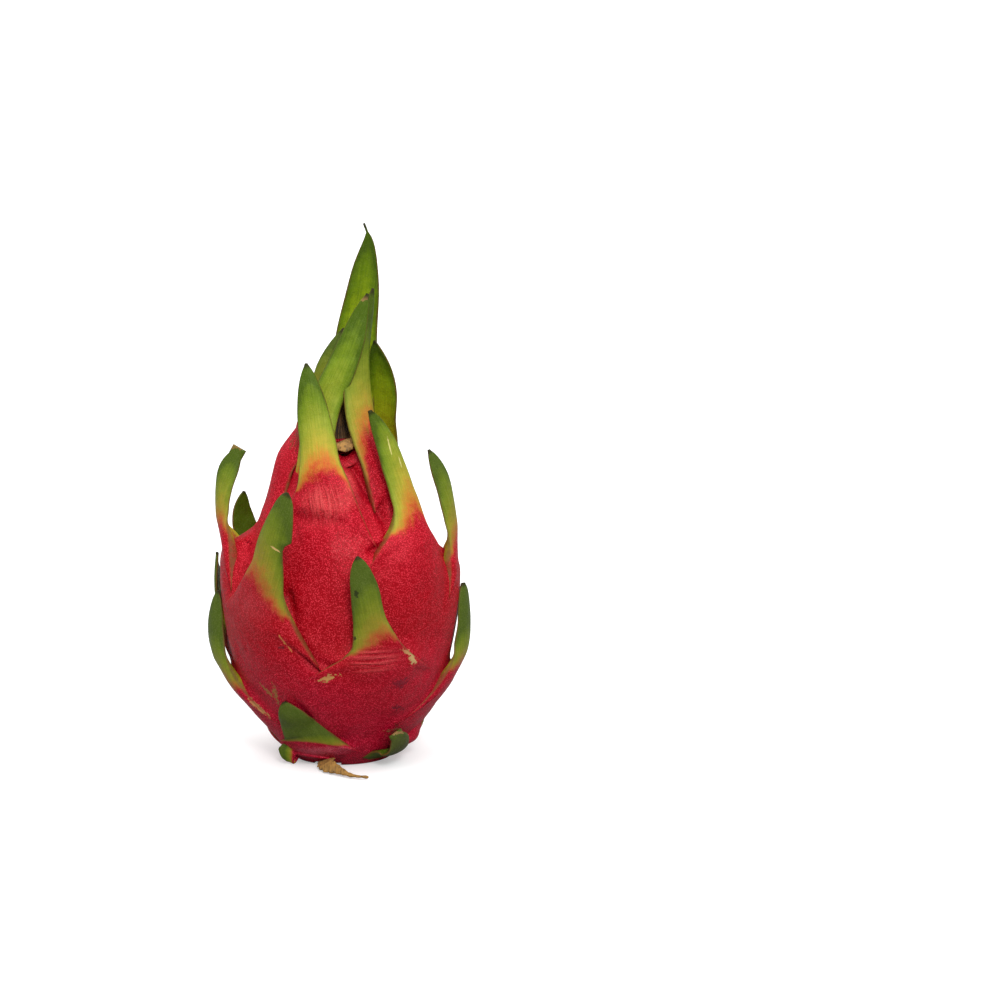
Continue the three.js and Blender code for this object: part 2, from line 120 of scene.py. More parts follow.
def through_points(pairs, x):
    """A smooth curve through (place, value) pairs. Each slope is that between its neighbours,
    and a cubic in the share of each gap joins the values and slopes at its two ends."""
    places, values = np.array(pairs, float).T
    rise, run = np.diff(values), np.diff(places)
    slopes = np.concatenate([rise[:1] / run[:1], (rise[1:] + rise[:-1]) / (run[1:] + run[:-1]),
                             rise[-1:] / run[-1:]])
    i = np.clip(np.searchsorted(places, x, "right") - 1, 0, len(places) - 2)
    t = np.clip((x - places[i]) / run[i], 0, 1)
    return ((2 * t**3 - 3 * t**2 + 1) * values[i] + (t**3 - 2 * t**2 + t) * run[i] * slopes[i]
            + (3 * t**2 - 2 * t**3) * values[i + 1] + (t**3 - t**2) * run[i] * slopes[i + 1])


print("a point on the right:", at_azimuth(90, 40, 50).round(3))

# %% [markdown]
# ## The bare skin
# Without its folds the fruit is a shape turned on a lathe: widest a quarter of the way up,
# and drawn in towards the flower. One radius for each height describes it. A smooth curve
# through a few measured radii is enough, because all that is uneven comes later, as folds.

# %% Radius of the bare skin
SKIN_PROFILE = [
    (0, 18), (4, 21), (10, 24.8), (18, 30.2), (27, 35.2), (38, 38.8), (49, 39.6), (60, 38.6),
    (70, 36), (79, 32.4), (87, 28.4), (94, 24.8), (101, 21.6), (108, 19), (115, 17), (122, 15.4),
]
SKIN_TOP = SKIN_PROFILE[-1][0]


def bare_radius(z):
    """The radius of the skin at height z, before any fold lifts it."""
    return through_points(SKIN_PROFILE, np.clip(z, 0, SKIN_TOP))


widest = 2 * bare_radius(np.linspace(0, SKIN_TOP, 400)).max()
print("widest:", round(float(widest), 1), "mm")

# %% [markdown]
# ## Where the scales grow
# Each scale on the side that faces the camera is set down one by one, from the crown to the base,
# because its place and its curve are its own. A row starts with the azimuth and height of its root,
# how far its fold lifts the skin, and the half width of its root line, with the droop of the two ends
# and the tilt. Then come the half width of the free blade, the radius that it is cupped to and the
# azimuth that its tip faces. The last three are for colour: how far up the blade red turns to green,
# how long that change is, and how dull the green is. The path is the middle of the free blade up to
# its tip, as azimuth, radius and height.

# %% Scales of the front
FIELDS = ("azimuth", "root", "fold", "wing", "droop", "tilt", "blade", "cup", "facing",
          "turn", "blend", "dull")
FRONT = [
    ((175, 112, 2, 14, 6, 0, 9.6, 14, 170, 0.02, 0.75, 0.1),
     [(165, 15, 132), (154.5, 14, 152), (131, 12.5, 174), (115, 11.6, 188), (122, 10.6, 192.8)]),
    ((-27, 112, 2, 7.4, 6, 0, 7, 10, 0, 0.02, 0.8, 0.1),
     [(-27, 13, 128), (20, 9.5, 149), (58, 12.5, 169)]),
    ((55, 101, 3.5, 11, 8, 0, 8.4, 11, 38, 0.46, 0.32, 0.5),
     [(46, 17.4, 118), (47, 12.3, 130), (65, 8.8, 146), (93, 12.5, 170)]),
    ((130, 106, 3, 12, 8, 0, 9, 12, 150, 0.1, 0.7, 0.1),
     [(124, 20, 121), (117, 18, 136), (110, 13.5, 151)]),
    ((-79, 92, 0.6, 14, 10, 0, 7.4, 12, -18, 0.7, 0.22, 0.9),
     [(-70, 22.2, 109.5), (-62, 12, 123), (-59, 6.4, 142), (60, 2, 156)]),
    ((-136, 106, 3, 12, 8, 0, 6.6, 12, -136, 0.2, 0.5, 0.2),
     [(-139, 16.5, 119), (-146, 13, 133), (-160, 9, 146)]),
    ((-7, 95, 5.5, 17, 8, -5, 8.6, 10, -12, 0.46, 0.42, 0.22),
     [(-14, 27, 109), (-24.5, 20.5, 124), (-41, 17.2, 145)]),
    ((49, 84, 7, 19, 10, -1, 7, 9, 36, 0.45, 0.58, 0.3),
     [(49.5, 33, 98), (44.5, 27.9, 114), (27.5, 25.5, 129.5)]),
    ((92, 71, 5.6, 16, 12, 0, 7.4, 11, 52, 0.4, 0.42, 0.7),
     [(92, 41.8, 85), (91, 38.8, 98), (90, 32, 112)]),
    ((-93, 76, 8, 17, 14, 0, 7.6, 12, -25, 0.4, 0.45, 0.6),
     [(-94, 45, 86), (-95, 43.6, 99), (-97, 36.8, 112)]),
    ((-122, 68, 3.5, 13, 10, 0, 6.6, 11, -150, -0.2, 0.4, 0.8),
     [(-122, 43.5, 77), (-121.5, 44.8, 85), (-122, 43.2, 93)]),
    ((-40, 58, 5.5, 23, 10, -9, 9.6, 12, -34, 0.43, 0.42, 0.75),
     [(-33, 47, 74), (-25.6, 48, 92), (-21, 46, 103.8)]),
    ((20, 43, 5, 23, 6, 0, 7.4, 9, 15, 0.36, 0.35, 0.85),
     [(16.4, 47, 55), (13, 48.5, 68), (9.6, 48, 82)]),
    ((-107, 46, 4, 17, 10, 0, 7.5, 11, -90, 0.2, 0.4, 0.6),
     [(-103, 47.2, 56), (-101, 47.4, 65), (-100, 46.6, 73)]),
    ((86, 29, 3.8, 24, 14, 0, 8.4, 11, 57, 0.28, 0.25, 0.85),
     [(86, 45.6, 39), (86, 46.3, 50), (85, 44.7, 64)]),
    ((-81, 28, 4.6, 17, 12, 0, 7.2, 12, -38, 0.15, 0.35, 0.8),
     [(-83, 46.1, 38), (-85, 46.9, 48), (-86, 44.6, 61)]),
    ((-22, 11, 3.2, 16, 5, 0, 8, 14, -27, 0.03, 0.1, 1),
     [(-26, 32.5, 15.5), (-28, 36, 20.5), (-31, 37.5, 26.5)]),
    ((-36, 4, 3, 12, 1, 0, 5.5, 11, -42, 0.5, 0.2, 0.7),
     [(-41, 24.5, 4.8), (-47, 27, 5.4), (-51, 28.5, 6)]),
    ((46, 3, 3, 8.4, 0, 0, 7.6, 14, 36, -0.6, 0.2, 1),
     [(45.5, 29, 5), (42.5, 33, 9), (37, 33.8, 14)]),
    ((73, 4, 2, 9, 0, 0, 6, 12, 58, 1.4, 0.3, 1),
     [(73, 27.8, 7), (73, 28.7, 11), (71, 29, 15)]),
]
print(len(FRONT), "scales at the front and the crown")

# %% [markdown]
# ## Scales unlike the rest
# Some scales differ in ways that the table has no column for, so these are kept by the number
# of the scale, and the rest take plain values. Closing is how soon the wide root narrows to
# the blade, fullness is the power by which the blade narrows, smaller for a fuller tip, and
# blunt is the least half width there. Skew turns one margin green sooner than the other. A
# torn tip has lost its dark end, a dried one ends as a thread, and a tear bites into one margin
# and leaves it narrow below.

# %% Unlike scales
PLAIN = dict(closing=0.1, fullness=0.72, blunt=0.5, skew=0.0, dried=1.0, torn=False, tear=None)
UNLIKE = {
    0: dict(dried=0.965),
    2: dict(skew=-0.06),
    6: dict(skew=-0.05),
    7: dict(skew=-0.16, closing=0.05),
    9: dict(skew=-0.14, blunt=2.8, torn=True),
    11: dict(skew=0.14, fullness=0.52,
             tear=dict(at=0.62, reach=0.022, depth=0.3, step=0.36, fade=0.28)),
    12: dict(skew=-0.1, fullness=0.6, closing=0.07),
    18: dict(blunt=2.8, torn=True),
}
scales = [{**PLAIN, **dict(zip(FIELDS, values)), "path": path, **UNLIKE.get(k, {})}
          for k, (values, path) in enumerate(FRONT)]
print(len(UNLIKE), "of these", len(scales), "are unlike the rest")

# %% [markdown]
# ## A seeded draw
# No two scales at the back are quite alike, so each is moved a little by a random draw. A seed
# makes the draw give the same numbers every time. The draw is a small whole-number recipe, the
# same one that placed the solid scales, so these fine ones land exactly on them.

# %% Seeded draw
BACK_SEED = 11
STRIDE = 0x6D2B79F5
WORD = 0xFFFFFFFF
SCATTER = dict(azimuth=5, root=3, length=0.12, lean=1.5, sway=7, tilt=2)
draw_state = BACK_SEED


def drawn():
    """The next number between 0 and 1: a counter whose bits are mixed by two products."""
    global draw_state
    draw_state += STRIDE
    t = draw_state & WORD
    t = ((t ^ (t >> 15)) * (t | 1)) & WORD
    t ^= (t + (t ^ (t >> 7)) * (t | 61)) & WORD
    return (t ^ (t >> 14)) / (WORD + 1)


def spread(kind):
    """A draw between minus and plus the scatter of this kind."""
    return (drawn() - 0.5) * 2 * SCATTER[kind]


print("the first draw, which is thrown away as it is for the solid scales:", round(drawn(), 4))

# %% [markdown]
# ## The scales behind
# Round the back the scales climb in rows, as they do on the whole fruit. Setting each by hand
# would add nothing there, so a row says what its scales share, and every one is then turned,
# raised and leant by the draw.

# %% Scales of the back
BACK_ROWS = [
    dict(root=8, azimuths=(112, 178, -118), fold=3.5, wing=15, droop=4, blade=6.5, length=18, lean=7),
    dict(root=30, azimuths=(130, 170, -148), fold=5, wing=20, droop=12, blade=7.4, length=36, lean=6),
    dict(root=62, azimuths=(154, -166), fold=5, wing=18, droop=12, blade=7.6, length=40, lean=2),
    dict(root=88, azimuths=(164, -146), fold=5, wing=16, droop=11, blade=7.6, length=42, lean=-6),
]
BACK_CUP = 12
BACK_COLOUR = dict(turn=0.24, blend=0.38)
BACK_DULL = dict(foot=0.8, crown=0.2, over=100)
PATH_SHARES = (0.33, 0.67, 1)


def back_scale(row, middle):
    """A scale of this row near the azimuth middle. Its path sways round, leans out by a sine
    and follows the skin inwards by half of a square."""
    azimuth = middle + spread("azimuth")
    root = row["root"] + spread("root") * float(smoothstep(row["root"], 5, 30))
    length = row["length"] * (1 + spread("length"))
    start = float(bare_radius(root)) + row["fold"]
    lean = row["lean"] + spread("lean")
    sway = spread("sway")
    path = [(azimuth + sway * u,
             start + lean * math.sin(2 * u)
             + (float(bare_radius(root + length * u / 2)) - start) * u * u / 2,
             root + length * u) for u in PATH_SHARES]
    dull = lerp(BACK_DULL["foot"], BACK_DULL["crown"], row["root"] / BACK_DULL["over"])
    kept = {key: row[key] for key in ("fold", "wing", "droop", "blade")}
    return {**PLAIN, **kept, **BACK_COLOUR, "azimuth": azimuth, "root": root, "path": path,
            "tilt": spread("tilt"), "cup": BACK_CUP, "facing": azimuth + sway / 2, "dull": dull}


for row in BACK_ROWS:
    scales += [back_scale(row, middle) for middle in row["azimuths"]]
print(len(scales), "scales in all")

# %% [markdown]
# ## Creases
# Between the scales the skin is pinched into creases. Each could be cut by hand, but a line of
# a few points with a depth and a width says all that it is, and stays easy to move. Where two
# creases meet, the deeper one wins, so that their depths don't add up to a pit.

# %% Creases
CREASES = [
    (3.6, 1.9, [(17, 115), (19, 108), (27, 102), (34, 95.5), (37, 89), (32, 82.5), (22, 80.5)]),
    (1.6, 2.2, [(-34, 118), (-27, 106), (-27, 95), (-30, 88)]),
    (2.3, 2.3, [(-26, 92), (-10, 91.5), (2, 93), (12, 97)]),
    (2.2, 2.0, [(-27, 65), (-22, 55), (-16, 48), (-9, 42.5), (0, 40)]),
    (0.8, 1.8, [(33, 46), (42, 40), (52, 35)]),
    (1.6, 2.2, [(-23, 25.5), (-16, 18), (-9, 13.5), (5, 11)]),
    (1.1, 7.0, [(-88, 22), (-80, 5)]),
]


def crease_depth(azimuth, z, bare):
    """How far the creases sink the skin: each is a line of (azimuth, height) points, and its
    depth fades by a bell curve of its width on either side."""
    total = np.zeros(azimuth.shape)
    for depth, width, line in CREASES:
        nearest = np.full(azimuth.shape, np.inf)
        for (a0, z0), (a1, z1) in zip(line[:-1], line[1:]):
            x, y = np.radians(turned(a0, azimuth)) * bare, z - z0
            dx, dy = math.radians(a1 - a0) * bare, z1 - z0
            share = np.clip((x * dx + y * dy) / (dx * dx + dy * dy), 0, 1)
            nearest = np.minimum(nearest, np.hypot(x - share * dx, y - share * dy))
        total = np.maximum(total, depth * np.exp(-((nearest / width) ** 2)))
    return total


print(len(CREASES), "creases, the deepest", max(depth for depth, _, _ in CREASES), "mm")

# %% [markdown]
# ## Folds of skin
# The skin swells below each scale and falls away fast above it, so every scale stands on a
# soft pillow with a valley over it. A fold is a hump: its height fades as a bell curve down,
# up and sideways from the root line. Where folds meet, the square root of the sum of their
# squares joins them without a crease.

# %% Folds
FOLD_BELOW = 22
FOLD_ABOVE = 6
FOLD_FADE = 9
LINE_ENDS = 1.2
CREASE_END = (-2.5, 0.5)
FIELD = {key: np.array([scale[key] for scale in scales], float)
         for key in ("azimuth", "root", "fold", "wing", "droop", "tilt")}


def root_line(across, wing, droop, tilt):
    """The height of a root line beside its middle: tilt times the share of the wing, less
    droop times its square."""
    share = np.clip(across / wing, -LINE_ENDS, LINE_ENDS)
    return tilt * share - droop * share * share


def skin_radius(azimuth, z, own=None):
    """The bare radius plus all folds together, less the creases. The scale with index own keeps
    its fold full above its root line and has no creases there: the fold becomes the scale."""
    azimuth, z = np.broadcast_arrays(np.asarray(azimuth, float), np.asarray(z, float))
    bare = bare_radius(z)
    f = {key: values.reshape((-1,) + (1,) * azimuth.ndim) for key, values in FIELD.items()}
    across = np.radians(turned(f["azimuth"], azimuth)) * bare
    up = z - f["root"] - root_line(across, f["wing"], f["droop"], f["tilt"])
    along = np.exp(-((up / np.where(up < 0, FOLD_BELOW, FOLD_ABOVE)) ** 2))
    if own is not None:
        along[own] = np.where(up[own] > 0, 1, along[own])
    folds = f["fold"] * along * np.exp(-((across / f["wing"]) ** 2))
    raised = bare + np.sqrt((folds**2).sum(0)) * smoothstep(z, 0, FOLD_FADE)
    sunk = crease_depth(azimuth, z, bare)
    return raised - (sunk if own is None else sunk * (1 - smoothstep(up[own], *CREASE_END)))


pillow = skin_radius(20.0, 40.0)
print("skin under the middle front scale:", round(float(pillow), 1), "mm from the axis")

# %% [markdown]
# ## One surface from rings
# Every piece of this fruit is a tube that closes to a point at both ends: the body, each scale,
# the dry flower. So one helper turns rings of points into a mesh. Each ring joins the next with
# four-sided faces, and the end points are fanned with four-sided faces too, two steps each.

# %% Rings to faces
def tube(rings, first, last):
    """Points and faces of a closed tube. rings has one row for each ring, and each ring runs
    counterclockwise as seen from the last; first and last are the points that close it."""
    rows, count = rings.shape[:2]
    index = np.arange(rows * count).reshape(rows, count)
    beside = np.roll(index, -1, axis=1)
    walls = np.stack([index[:-1], beside[:-1], beside[1:], index[1:]], axis=-1).reshape(-1, 4)
    even = np.arange(0, count, 2)
    a, b, c = even, even + 1, (even + 2) % count
    low = np.stack([np.full_like(a, rows * count), index[0][c], index[0][b], index[0][a]], -1)
    high = np.stack([np.full_like(a, rows * count + 1), index[-1][a], index[-1][b], index[-1][c]], -1)
    points = np.concatenate([rings.reshape(-1, 3), [first], [last]])
    return points, np.concatenate([walls, low, high])


def closed(rings):
    """A tube that closes at the middle of its first ring and the middle of its last."""
    return tube(rings, rings[0].mean(0), rings[-1].mean(0))


two_rings = at_azimuth(np.arange(8) * 45, 10, np.array([[0], [5]]))
print("two rings of 8 points close with", len(closed(two_rings)[1]), "faces")

# %% [markdown]
# ## From arrays to an object
# Blender can be handed a mesh point by point, but one call that takes the whole array is far
# quicker. The numbers that go with each point, which the finishes read later, travel the same
# way. The points become metres only here.

# %% Mesh object
SIDES = 4


def mesh_object(name, points, faces, values):
    """A smooth object from points in millimetres. values holds one named number a point."""
    mesh = bpy.data.meshes.new(name)
    mesh.vertices.add(len(points))
    mesh.vertices.foreach_set("co", (points * MM).astype(np.float32).ravel())
    mesh.loops.add(faces.size)
    mesh.loops.foreach_set("vertex_index", faces.astype(np.int32).ravel())
    mesh.polygons.add(len(faces))
    mesh.polygons.foreach_set("loop_start", np.arange(0, faces.size, SIDES, dtype=np.int32))
    mesh.update(calc_edges=True)
    mesh.validate()
    mesh.polygons.foreach_set("use_smooth", np.ones(len(mesh.polygons), bool))
    for key, numbers in values.items():
        attribute = mesh.attributes.new(key, "FLOAT", "POINT")
        attribute.data.foreach_set("value", numbers.astype(np.float32))
    piece = bpy.data.objects.new(name, mesh)
    bpy.context.scene.collection.objects.link(piece)
    return piece


print("a point 100 mm up goes into a mesh at", 100 * MM, "m")

# %% [markdown]
# ## The rim of the navel
# On top the skin rolls over a soft rim into the navel, the hollow that holds the flower. The
# rim is a few rings: a wave carries them up and over, and inwards. It dips at the front, where
# the two front crown scales stand apart and show the flower between them.

# %% Navel rim
AROUND = 280
NAVEL = dict(mouth=10.2, top=124, floor=104, wall_top=117.5, sharpness=1.4)
NOTCH = dict(azimuth=10, half=34, drop=12.5)
ring_azimuths = np.arange(AROUND) * 360 / AROUND


def notched(azimuth, z):
    """z, lowered beside the notch by a bell curve that fades to nothing at the navel's floor."""
    dip = np.exp(-((turned(NOTCH["azimuth"], azimuth) / NOTCH["half"]) ** 2))
    return z - NOTCH["drop"] * dip * smoothstep(z, NAVEL["floor"], NAVEL["top"])


def rim_rings(count):
    """The rim of the navel: a quarter wave carries the radius from the skin to the mouth, and
    a half wave lifts the height to the top and back."""
    share = np.linspace(0, math.pi / 2, count)[1:, None]
    radius = lerp(skin_radius(ring_azimuths, float(SKIN_TOP)), NAVEL["mouth"],
                  np.sin(share) ** NAVEL["sharpness"])
    z = SKIN_TOP + (NAVEL["top"] - SKIN_TOP) * np.sin(2 * share)
    return at_azimuth(ring_azimuths[None, :], radius, notched(ring_azimuths[None, :], z))


rim = rim_rings(6)
print("the rim is lowest at", round(float(rim[..., 2].min()), 1), "mm")

# %% [markdown]
# ## The body
# The body is one tube of rings. It starts in the hollow where the stalk was, runs over the flat
# ring that the fruit stands on, climbs the folded skin and rolls over the rim into the navel.
# It could be built from a top, a side and a foot, but one tube has no seams to close. Rings
# that are level and round need only a radius and a height each.

# %% Body rings
STALK_HOLLOW = dict(mouth=8.5, depth=6, squareness=0.7)
FOOT = dict(inner=10, outer=17.4)
NAVEL_WALL = [(0, 9.9), (0.3, 9.4), (0.6, 9.2), (0.9, 8.6), (1, 6.4)]


def skin_rings(heights):
    """The outer skin: at each height a ring at the folded radius."""
    azimuth, z = np.meshgrid(ring_azimuths, heights)
    return at_azimuth(azimuth, skin_radius(azimuth, z), notched(azimuth, z))


def plain_rings(radii, heights):
    """Round level rings."""
    radii, heights = np.array(radii, float)[:, None], np.array(heights, float)[:, None]
    return at_azimuth(ring_azimuths[None, :], radii, heights)


angle = np.linspace(0, math.pi / 2, 9)[1:]
hollow = plain_rings(STALK_HOLLOW["mouth"] * np.sin(angle) ** STALK_HOLLOW["squareness"],
                     STALK_HOLLOW["depth"] * np.cos(angle) ** STALK_HOLLOW["squareness"])
foot = plain_rings(np.linspace(FOOT["inner"], FOOT["outer"], 4), np.zeros(4))
skin = skin_rings(np.concatenate([np.linspace(0.15, 2.4, 4), np.linspace(3.2, SKIN_TOP, 142)]))
wall = plain_rings(through_points(NAVEL_WALL, np.linspace(0, 1, 12)),
                   np.linspace(NAVEL["wall_top"], NAVEL["floor"], 12))
body_rings = np.concatenate([hollow, foot, skin, rim, wall])
print("body:", body_rings.shape[0], "rings of", body_rings.shape[1], "points")

# %% [markdown]
# ## The arch in the foot
# The dry stalk leaves the fruit through a low arch in the foot. It could be cut out with a
# second solid, but raising the points under a curve is enough, and keeps the body one tube.

# %% Arch
ARCH = dict(azimuth=-15, half=5, height=5.2, start=3, ramp=2, below=8)


def arched(points):
    """points, raised to the arch where they are under it. Its height is the square root of 1
    less the fourth power of the share sideways, and it rises over a short ramp."""
    a = math.radians(ARCH["azimuth"])
    x, y, z = np.moveaxis(points, -1, 0)
    outwards = x * math.sin(a) - y * math.cos(a)
    sideways = np.abs(x * math.cos(a) + y * math.sin(a))
    arch = ARCH["height"] * np.clip(1 - (sideways / ARCH["half"]) ** 4, 0, 1) ** 0.5
    arch *= smoothstep(outwards, ARCH["start"], ARCH["start"] + ARCH["ramp"])
    return np.stack([x, y, np.maximum(z, np.where(z < ARCH["below"], arch, 0))], -1)


body_points, body_faces = tube(arched(body_rings), (0, 0, STALK_HOLLOW["depth"]),
                               (0, 0, NAVEL["floor"]))
print("body:", len(body_points), "points,", len(body_faces), "faces")

# %% [markdown]
# ## A smooth line through points
# Scales and dry strips follow lines that bend freely. A spline through a few points gives such
# a line. Its pieces are paced by the square root of the gaps between the points, which keeps it
# from looping where they are uneven. Two more helpers measure a line, and read it by length.

# %% Spline
PIECE_STEPS = 60


def spline(points):
    """A line through the points, each piece a cubic paced by the square root of its length,
    with an end point reflected at either end to give the first and last directions."""
    p = np.concatenate([[2 * points[0] - points[1]], points, [2 * points[-1] - points[-2]]])
    gap = np.sqrt(np.linalg.norm(np.diff(p, axis=0), axis=1))[:, None]
    before, here, after = gap[:-2], gap[1:-1], gap[2:]
    p0, p1, p2, p3 = p[:-3], p[1:-2], p[2:-1], p[3:]
    leave = ((p1 - p0) / before - (p2 - p0) / (before + here) + (p2 - p1) / here) * here
    arrive = ((p2 - p1) / here - (p3 - p1) / (here + after) + (p3 - p2) / after) * here
    t = np.linspace(0, 1, PIECE_STEPS, endpoint=False)[None, :, None]
    p1, p2, leave, arrive = (v[:, None, :] for v in (p1, p2, leave, arrive))
    line = (p1 + leave * t + (3 * p2 - 3 * p1 - 2 * leave - arrive) * t**2
            + (2 * p1 - 2 * p2 + leave + arrive) * t**3)
    return np.concatenate([line.reshape(-1, 3), points[-1:]])


def length_along(line):
    """The length of the line from its start to each of its points."""
    return np.concatenate([[0], np.linalg.norm(np.diff(line, axis=0), axis=1).cumsum()])


def read_along(wanted, reach, rows):
    """rows, which are known at the lengths reach, read at the wanted lengths."""
    return np.stack([np.interp(wanted, reach, column) for column in rows.T], -1)


quarter = spline(at_azimuth(np.array([0, 30, 60, 90]), 10, 0))
print("a quarter of a circle of radius 10 measures", round(float(length_along(quarter)[-1]), 2), "mm")

# %% [markdown]
# ## The middle line of a scale
# A scale follows a smooth line: up the skin to its root line, then out through its path to the
# tip. The line is measured, so that 0 is the root line and 1 the tip, by length. It starts
# well below the root line, because the scale is skin there before it is a blade.

# %% Middle line
ROOT_DEPTH = 13
LIP = 1.2


def unit(vectors):
    """Each vector divided by its length."""
    return vectors / np.linalg.norm(vectors, axis=-1, keepdims=True)


def root_depth(scale):
    """How far below its root line a scale is still worked out, within the fruit."""
    return min(ROOT_DEPTH, scale["root"] - 1)


def middle_line(k, u):
    """Places and directions of scale k's middle at u, by length, and its length from the root."""
    scale = scales[k]
    heights = np.array([scale["root"] - root_depth(scale) / 2, scale["root"]])
    on_skin = at_azimuth(scale["azimuth"], skin_radius(scale["azimuth"], heights, k) + LIP, heights)
    line = spline(np.concatenate([on_skin, [at_azimuth(*step) for step in scale["path"]]]))
    reach = length_along(line)
    start = reach[PIECE_STEPS]
    wanted = lerp(start, reach[-1], u)
    along = read_along(wanted, reach, np.gradient(line, reach, axis=0))
    return read_along(wanted, reach, line), unit(along), reach[-1] - start


lengths = [middle_line(k, np.array([0.0]))[2] for k in range(len(scales))]
print("scale lengths from", round(min(lengths), 1), "to", round(max(lengths), 1), "mm")

# %% [markdown]
# ## The outline of a scale
# A scale is a leathery blade. It is worked out over u, up its length from the root line at 0 to
# the tip at 1, and t, across it from margin to margin. Its rows are closest near the root and
# the tip, where it bends most. Seen flat, it is a wide root whose two wings close in on a long
# blade. Waves of two lengths keep its margins from looking drawn with a ruler.

# %% Scale outline
UP = np.concatenate([np.linspace(-1, 0, 9)[:-1], np.linspace(0, 0.3, 14)[:-1],
                     np.linspace(0.3, 0.9, 16)[:-1], np.linspace(0.9, 1, 6)])
ACROSS = np.sin(np.linspace(-1, 1, 17) * math.pi / 2)
TAPER = 2.7
BURIED_WING = 0.7


def torn_share(tear, u, t):
    """The share of the half width that a tear leaves at one margin: a narrow bell is bitten out
    at its place, and below it a step fades away by a wider bell."""
    past = u - tear["at"]
    step = tear["step"] * np.exp(-((past / tear["fade"]) ** 2)) * (u < tear["at"])
    bite = tear["depth"] * np.exp(-((past / tear["reach"]) ** 2))
    return np.where(t > 0, 1 - bite - step, 1)


def half_width(k, u, t):
    """Half width: wings that close in by an exponential above the root line, and a blade that
    narrows by a power curve to its tip. The margins wander a little, and one may be torn."""
    scale = scales[k]
    wings = (scale["wing"] - scale["blade"]) * np.exp(-np.clip(u, 0, 1) / scale["closing"])
    blade = scale["blade"] * (1 - np.clip(u / scale["dried"], 0, 1) ** TAPER) ** scale["fullness"]
    half = np.maximum(blade + wings, scale["blunt"])
    buried = lerp(scale["wing"], scale["wing"] * BURIED_WING, -np.minimum(u, 0))
    half = np.where(u <= 0, buried, half)
    wander = 0.025 * np.sin(9 * u + 2.1 * k) + 0.012 * np.sin(23 * u + 1.3 * k + 2 * np.sign(t))
    half = half * (1 + wander * smoothstep(u, 0.05, 0.3))
    return half * torn_share(scale["tear"], u, t) if scale["tear"] else half


widths = [2 * half_width(k, np.array(0.5), np.array(-1.0)) for k in range(len(scales))]
print("half way up, the scales are", round(float(min(widths)), 1), "to", round(float(max(widths)), 1),
      "mm wide")

# %% [markdown]
# ## A scale near its root
# Near its root a scale is still the skin itself, raised a little. Its two faces are made as
# skin: the outer one follows the folds with a low lip on top, and the inner one is sunk inside
# the fruit. Its margins are rounded, because a real one is about a millimetre thick there and
# never sharp.

# %% Scale near its root
ROOT_THICKNESS = 5
MARGIN_THICKNESS = 0.9
EDGE = MARGIN_THICKNESS / 2
SUNK = 0.06
LOWEST_ROOT = 0.6


def margin_rounding(t):
    """1 over most of the width and 0 at the margins: the square root of 1 - t^8."""
    return np.sqrt(1 - np.clip(np.abs(t), 0, 1) ** 8)


def rooted_faces(k, u, t, half, centre):
    """The outer and inner faces of scale k as skin: the folded radius, plus the lip, which fades
    below the root line, plus a square's share of how far the middle line stands off the skin."""
    scale = scales[k]
    azimuth = np.degrees(np.arctan2(centre[:, 0], -centre[:, 1]))
    lifted = np.hypot(centre[:, 0], centre[:, 1]) - skin_radius(azimuth, centre[:, 2], k) - LIP
    buried = np.maximum(-u, 0)
    middle = np.where(u < 0, scale["root"] - root_depth(scale) * buried, centre[:, 2][:, None])
    fall = root_line(t * half, scale["wing"], scale["droop"], scale["tilt"])
    z = np.maximum(middle + fall * (1 - buried), LOWEST_ROOT)
    here = azimuth[:, None] + np.degrees(t * half / bare_radius(z))
    lift = np.where(u < 0, 0, lifted[:, None] * (1 - t * t))
    lip = LIP * lerp((1 - t * t) ** 2, 1 - 0.8 * t**4, smoothstep(u, -0.25, 0.05))
    rise = lip * (1 - smoothstep(buried, 0, 1)) ** 2 - SUNK * smoothstep(buried, 0.3, 1)
    radius = skin_radius(here, z, k) + lift + rise
    rounding = margin_rounding(t)
    outer = at_azimuth(here, radius - (1 - rounding) * EDGE, z)
    return outer, at_azimuth(here, radius - lerp(EDGE, ROOT_THICKNESS, rounding**0.5), z)


print("margins are", MARGIN_THICKNESS, "mm thick, roots", ROOT_THICKNESS, "mm")

# %% [markdown]
# ## A free blade
# Higher up a scale stands free. Its cross section is an arc that turns its hollow side to the
# fruit, tighter as it rises, and its margins flutter a little. It is thickest along its middle
# and thins out to the tip. A flat sheet with a bend and a solidify modifier would be close, but
# a formula gives both faces at once, and they can then be joined to the skin point by point.

# %% Free blade
FLUTTER = 0.5
THICKNESS = dict(root=3, upper=1.3, tip=0.8)


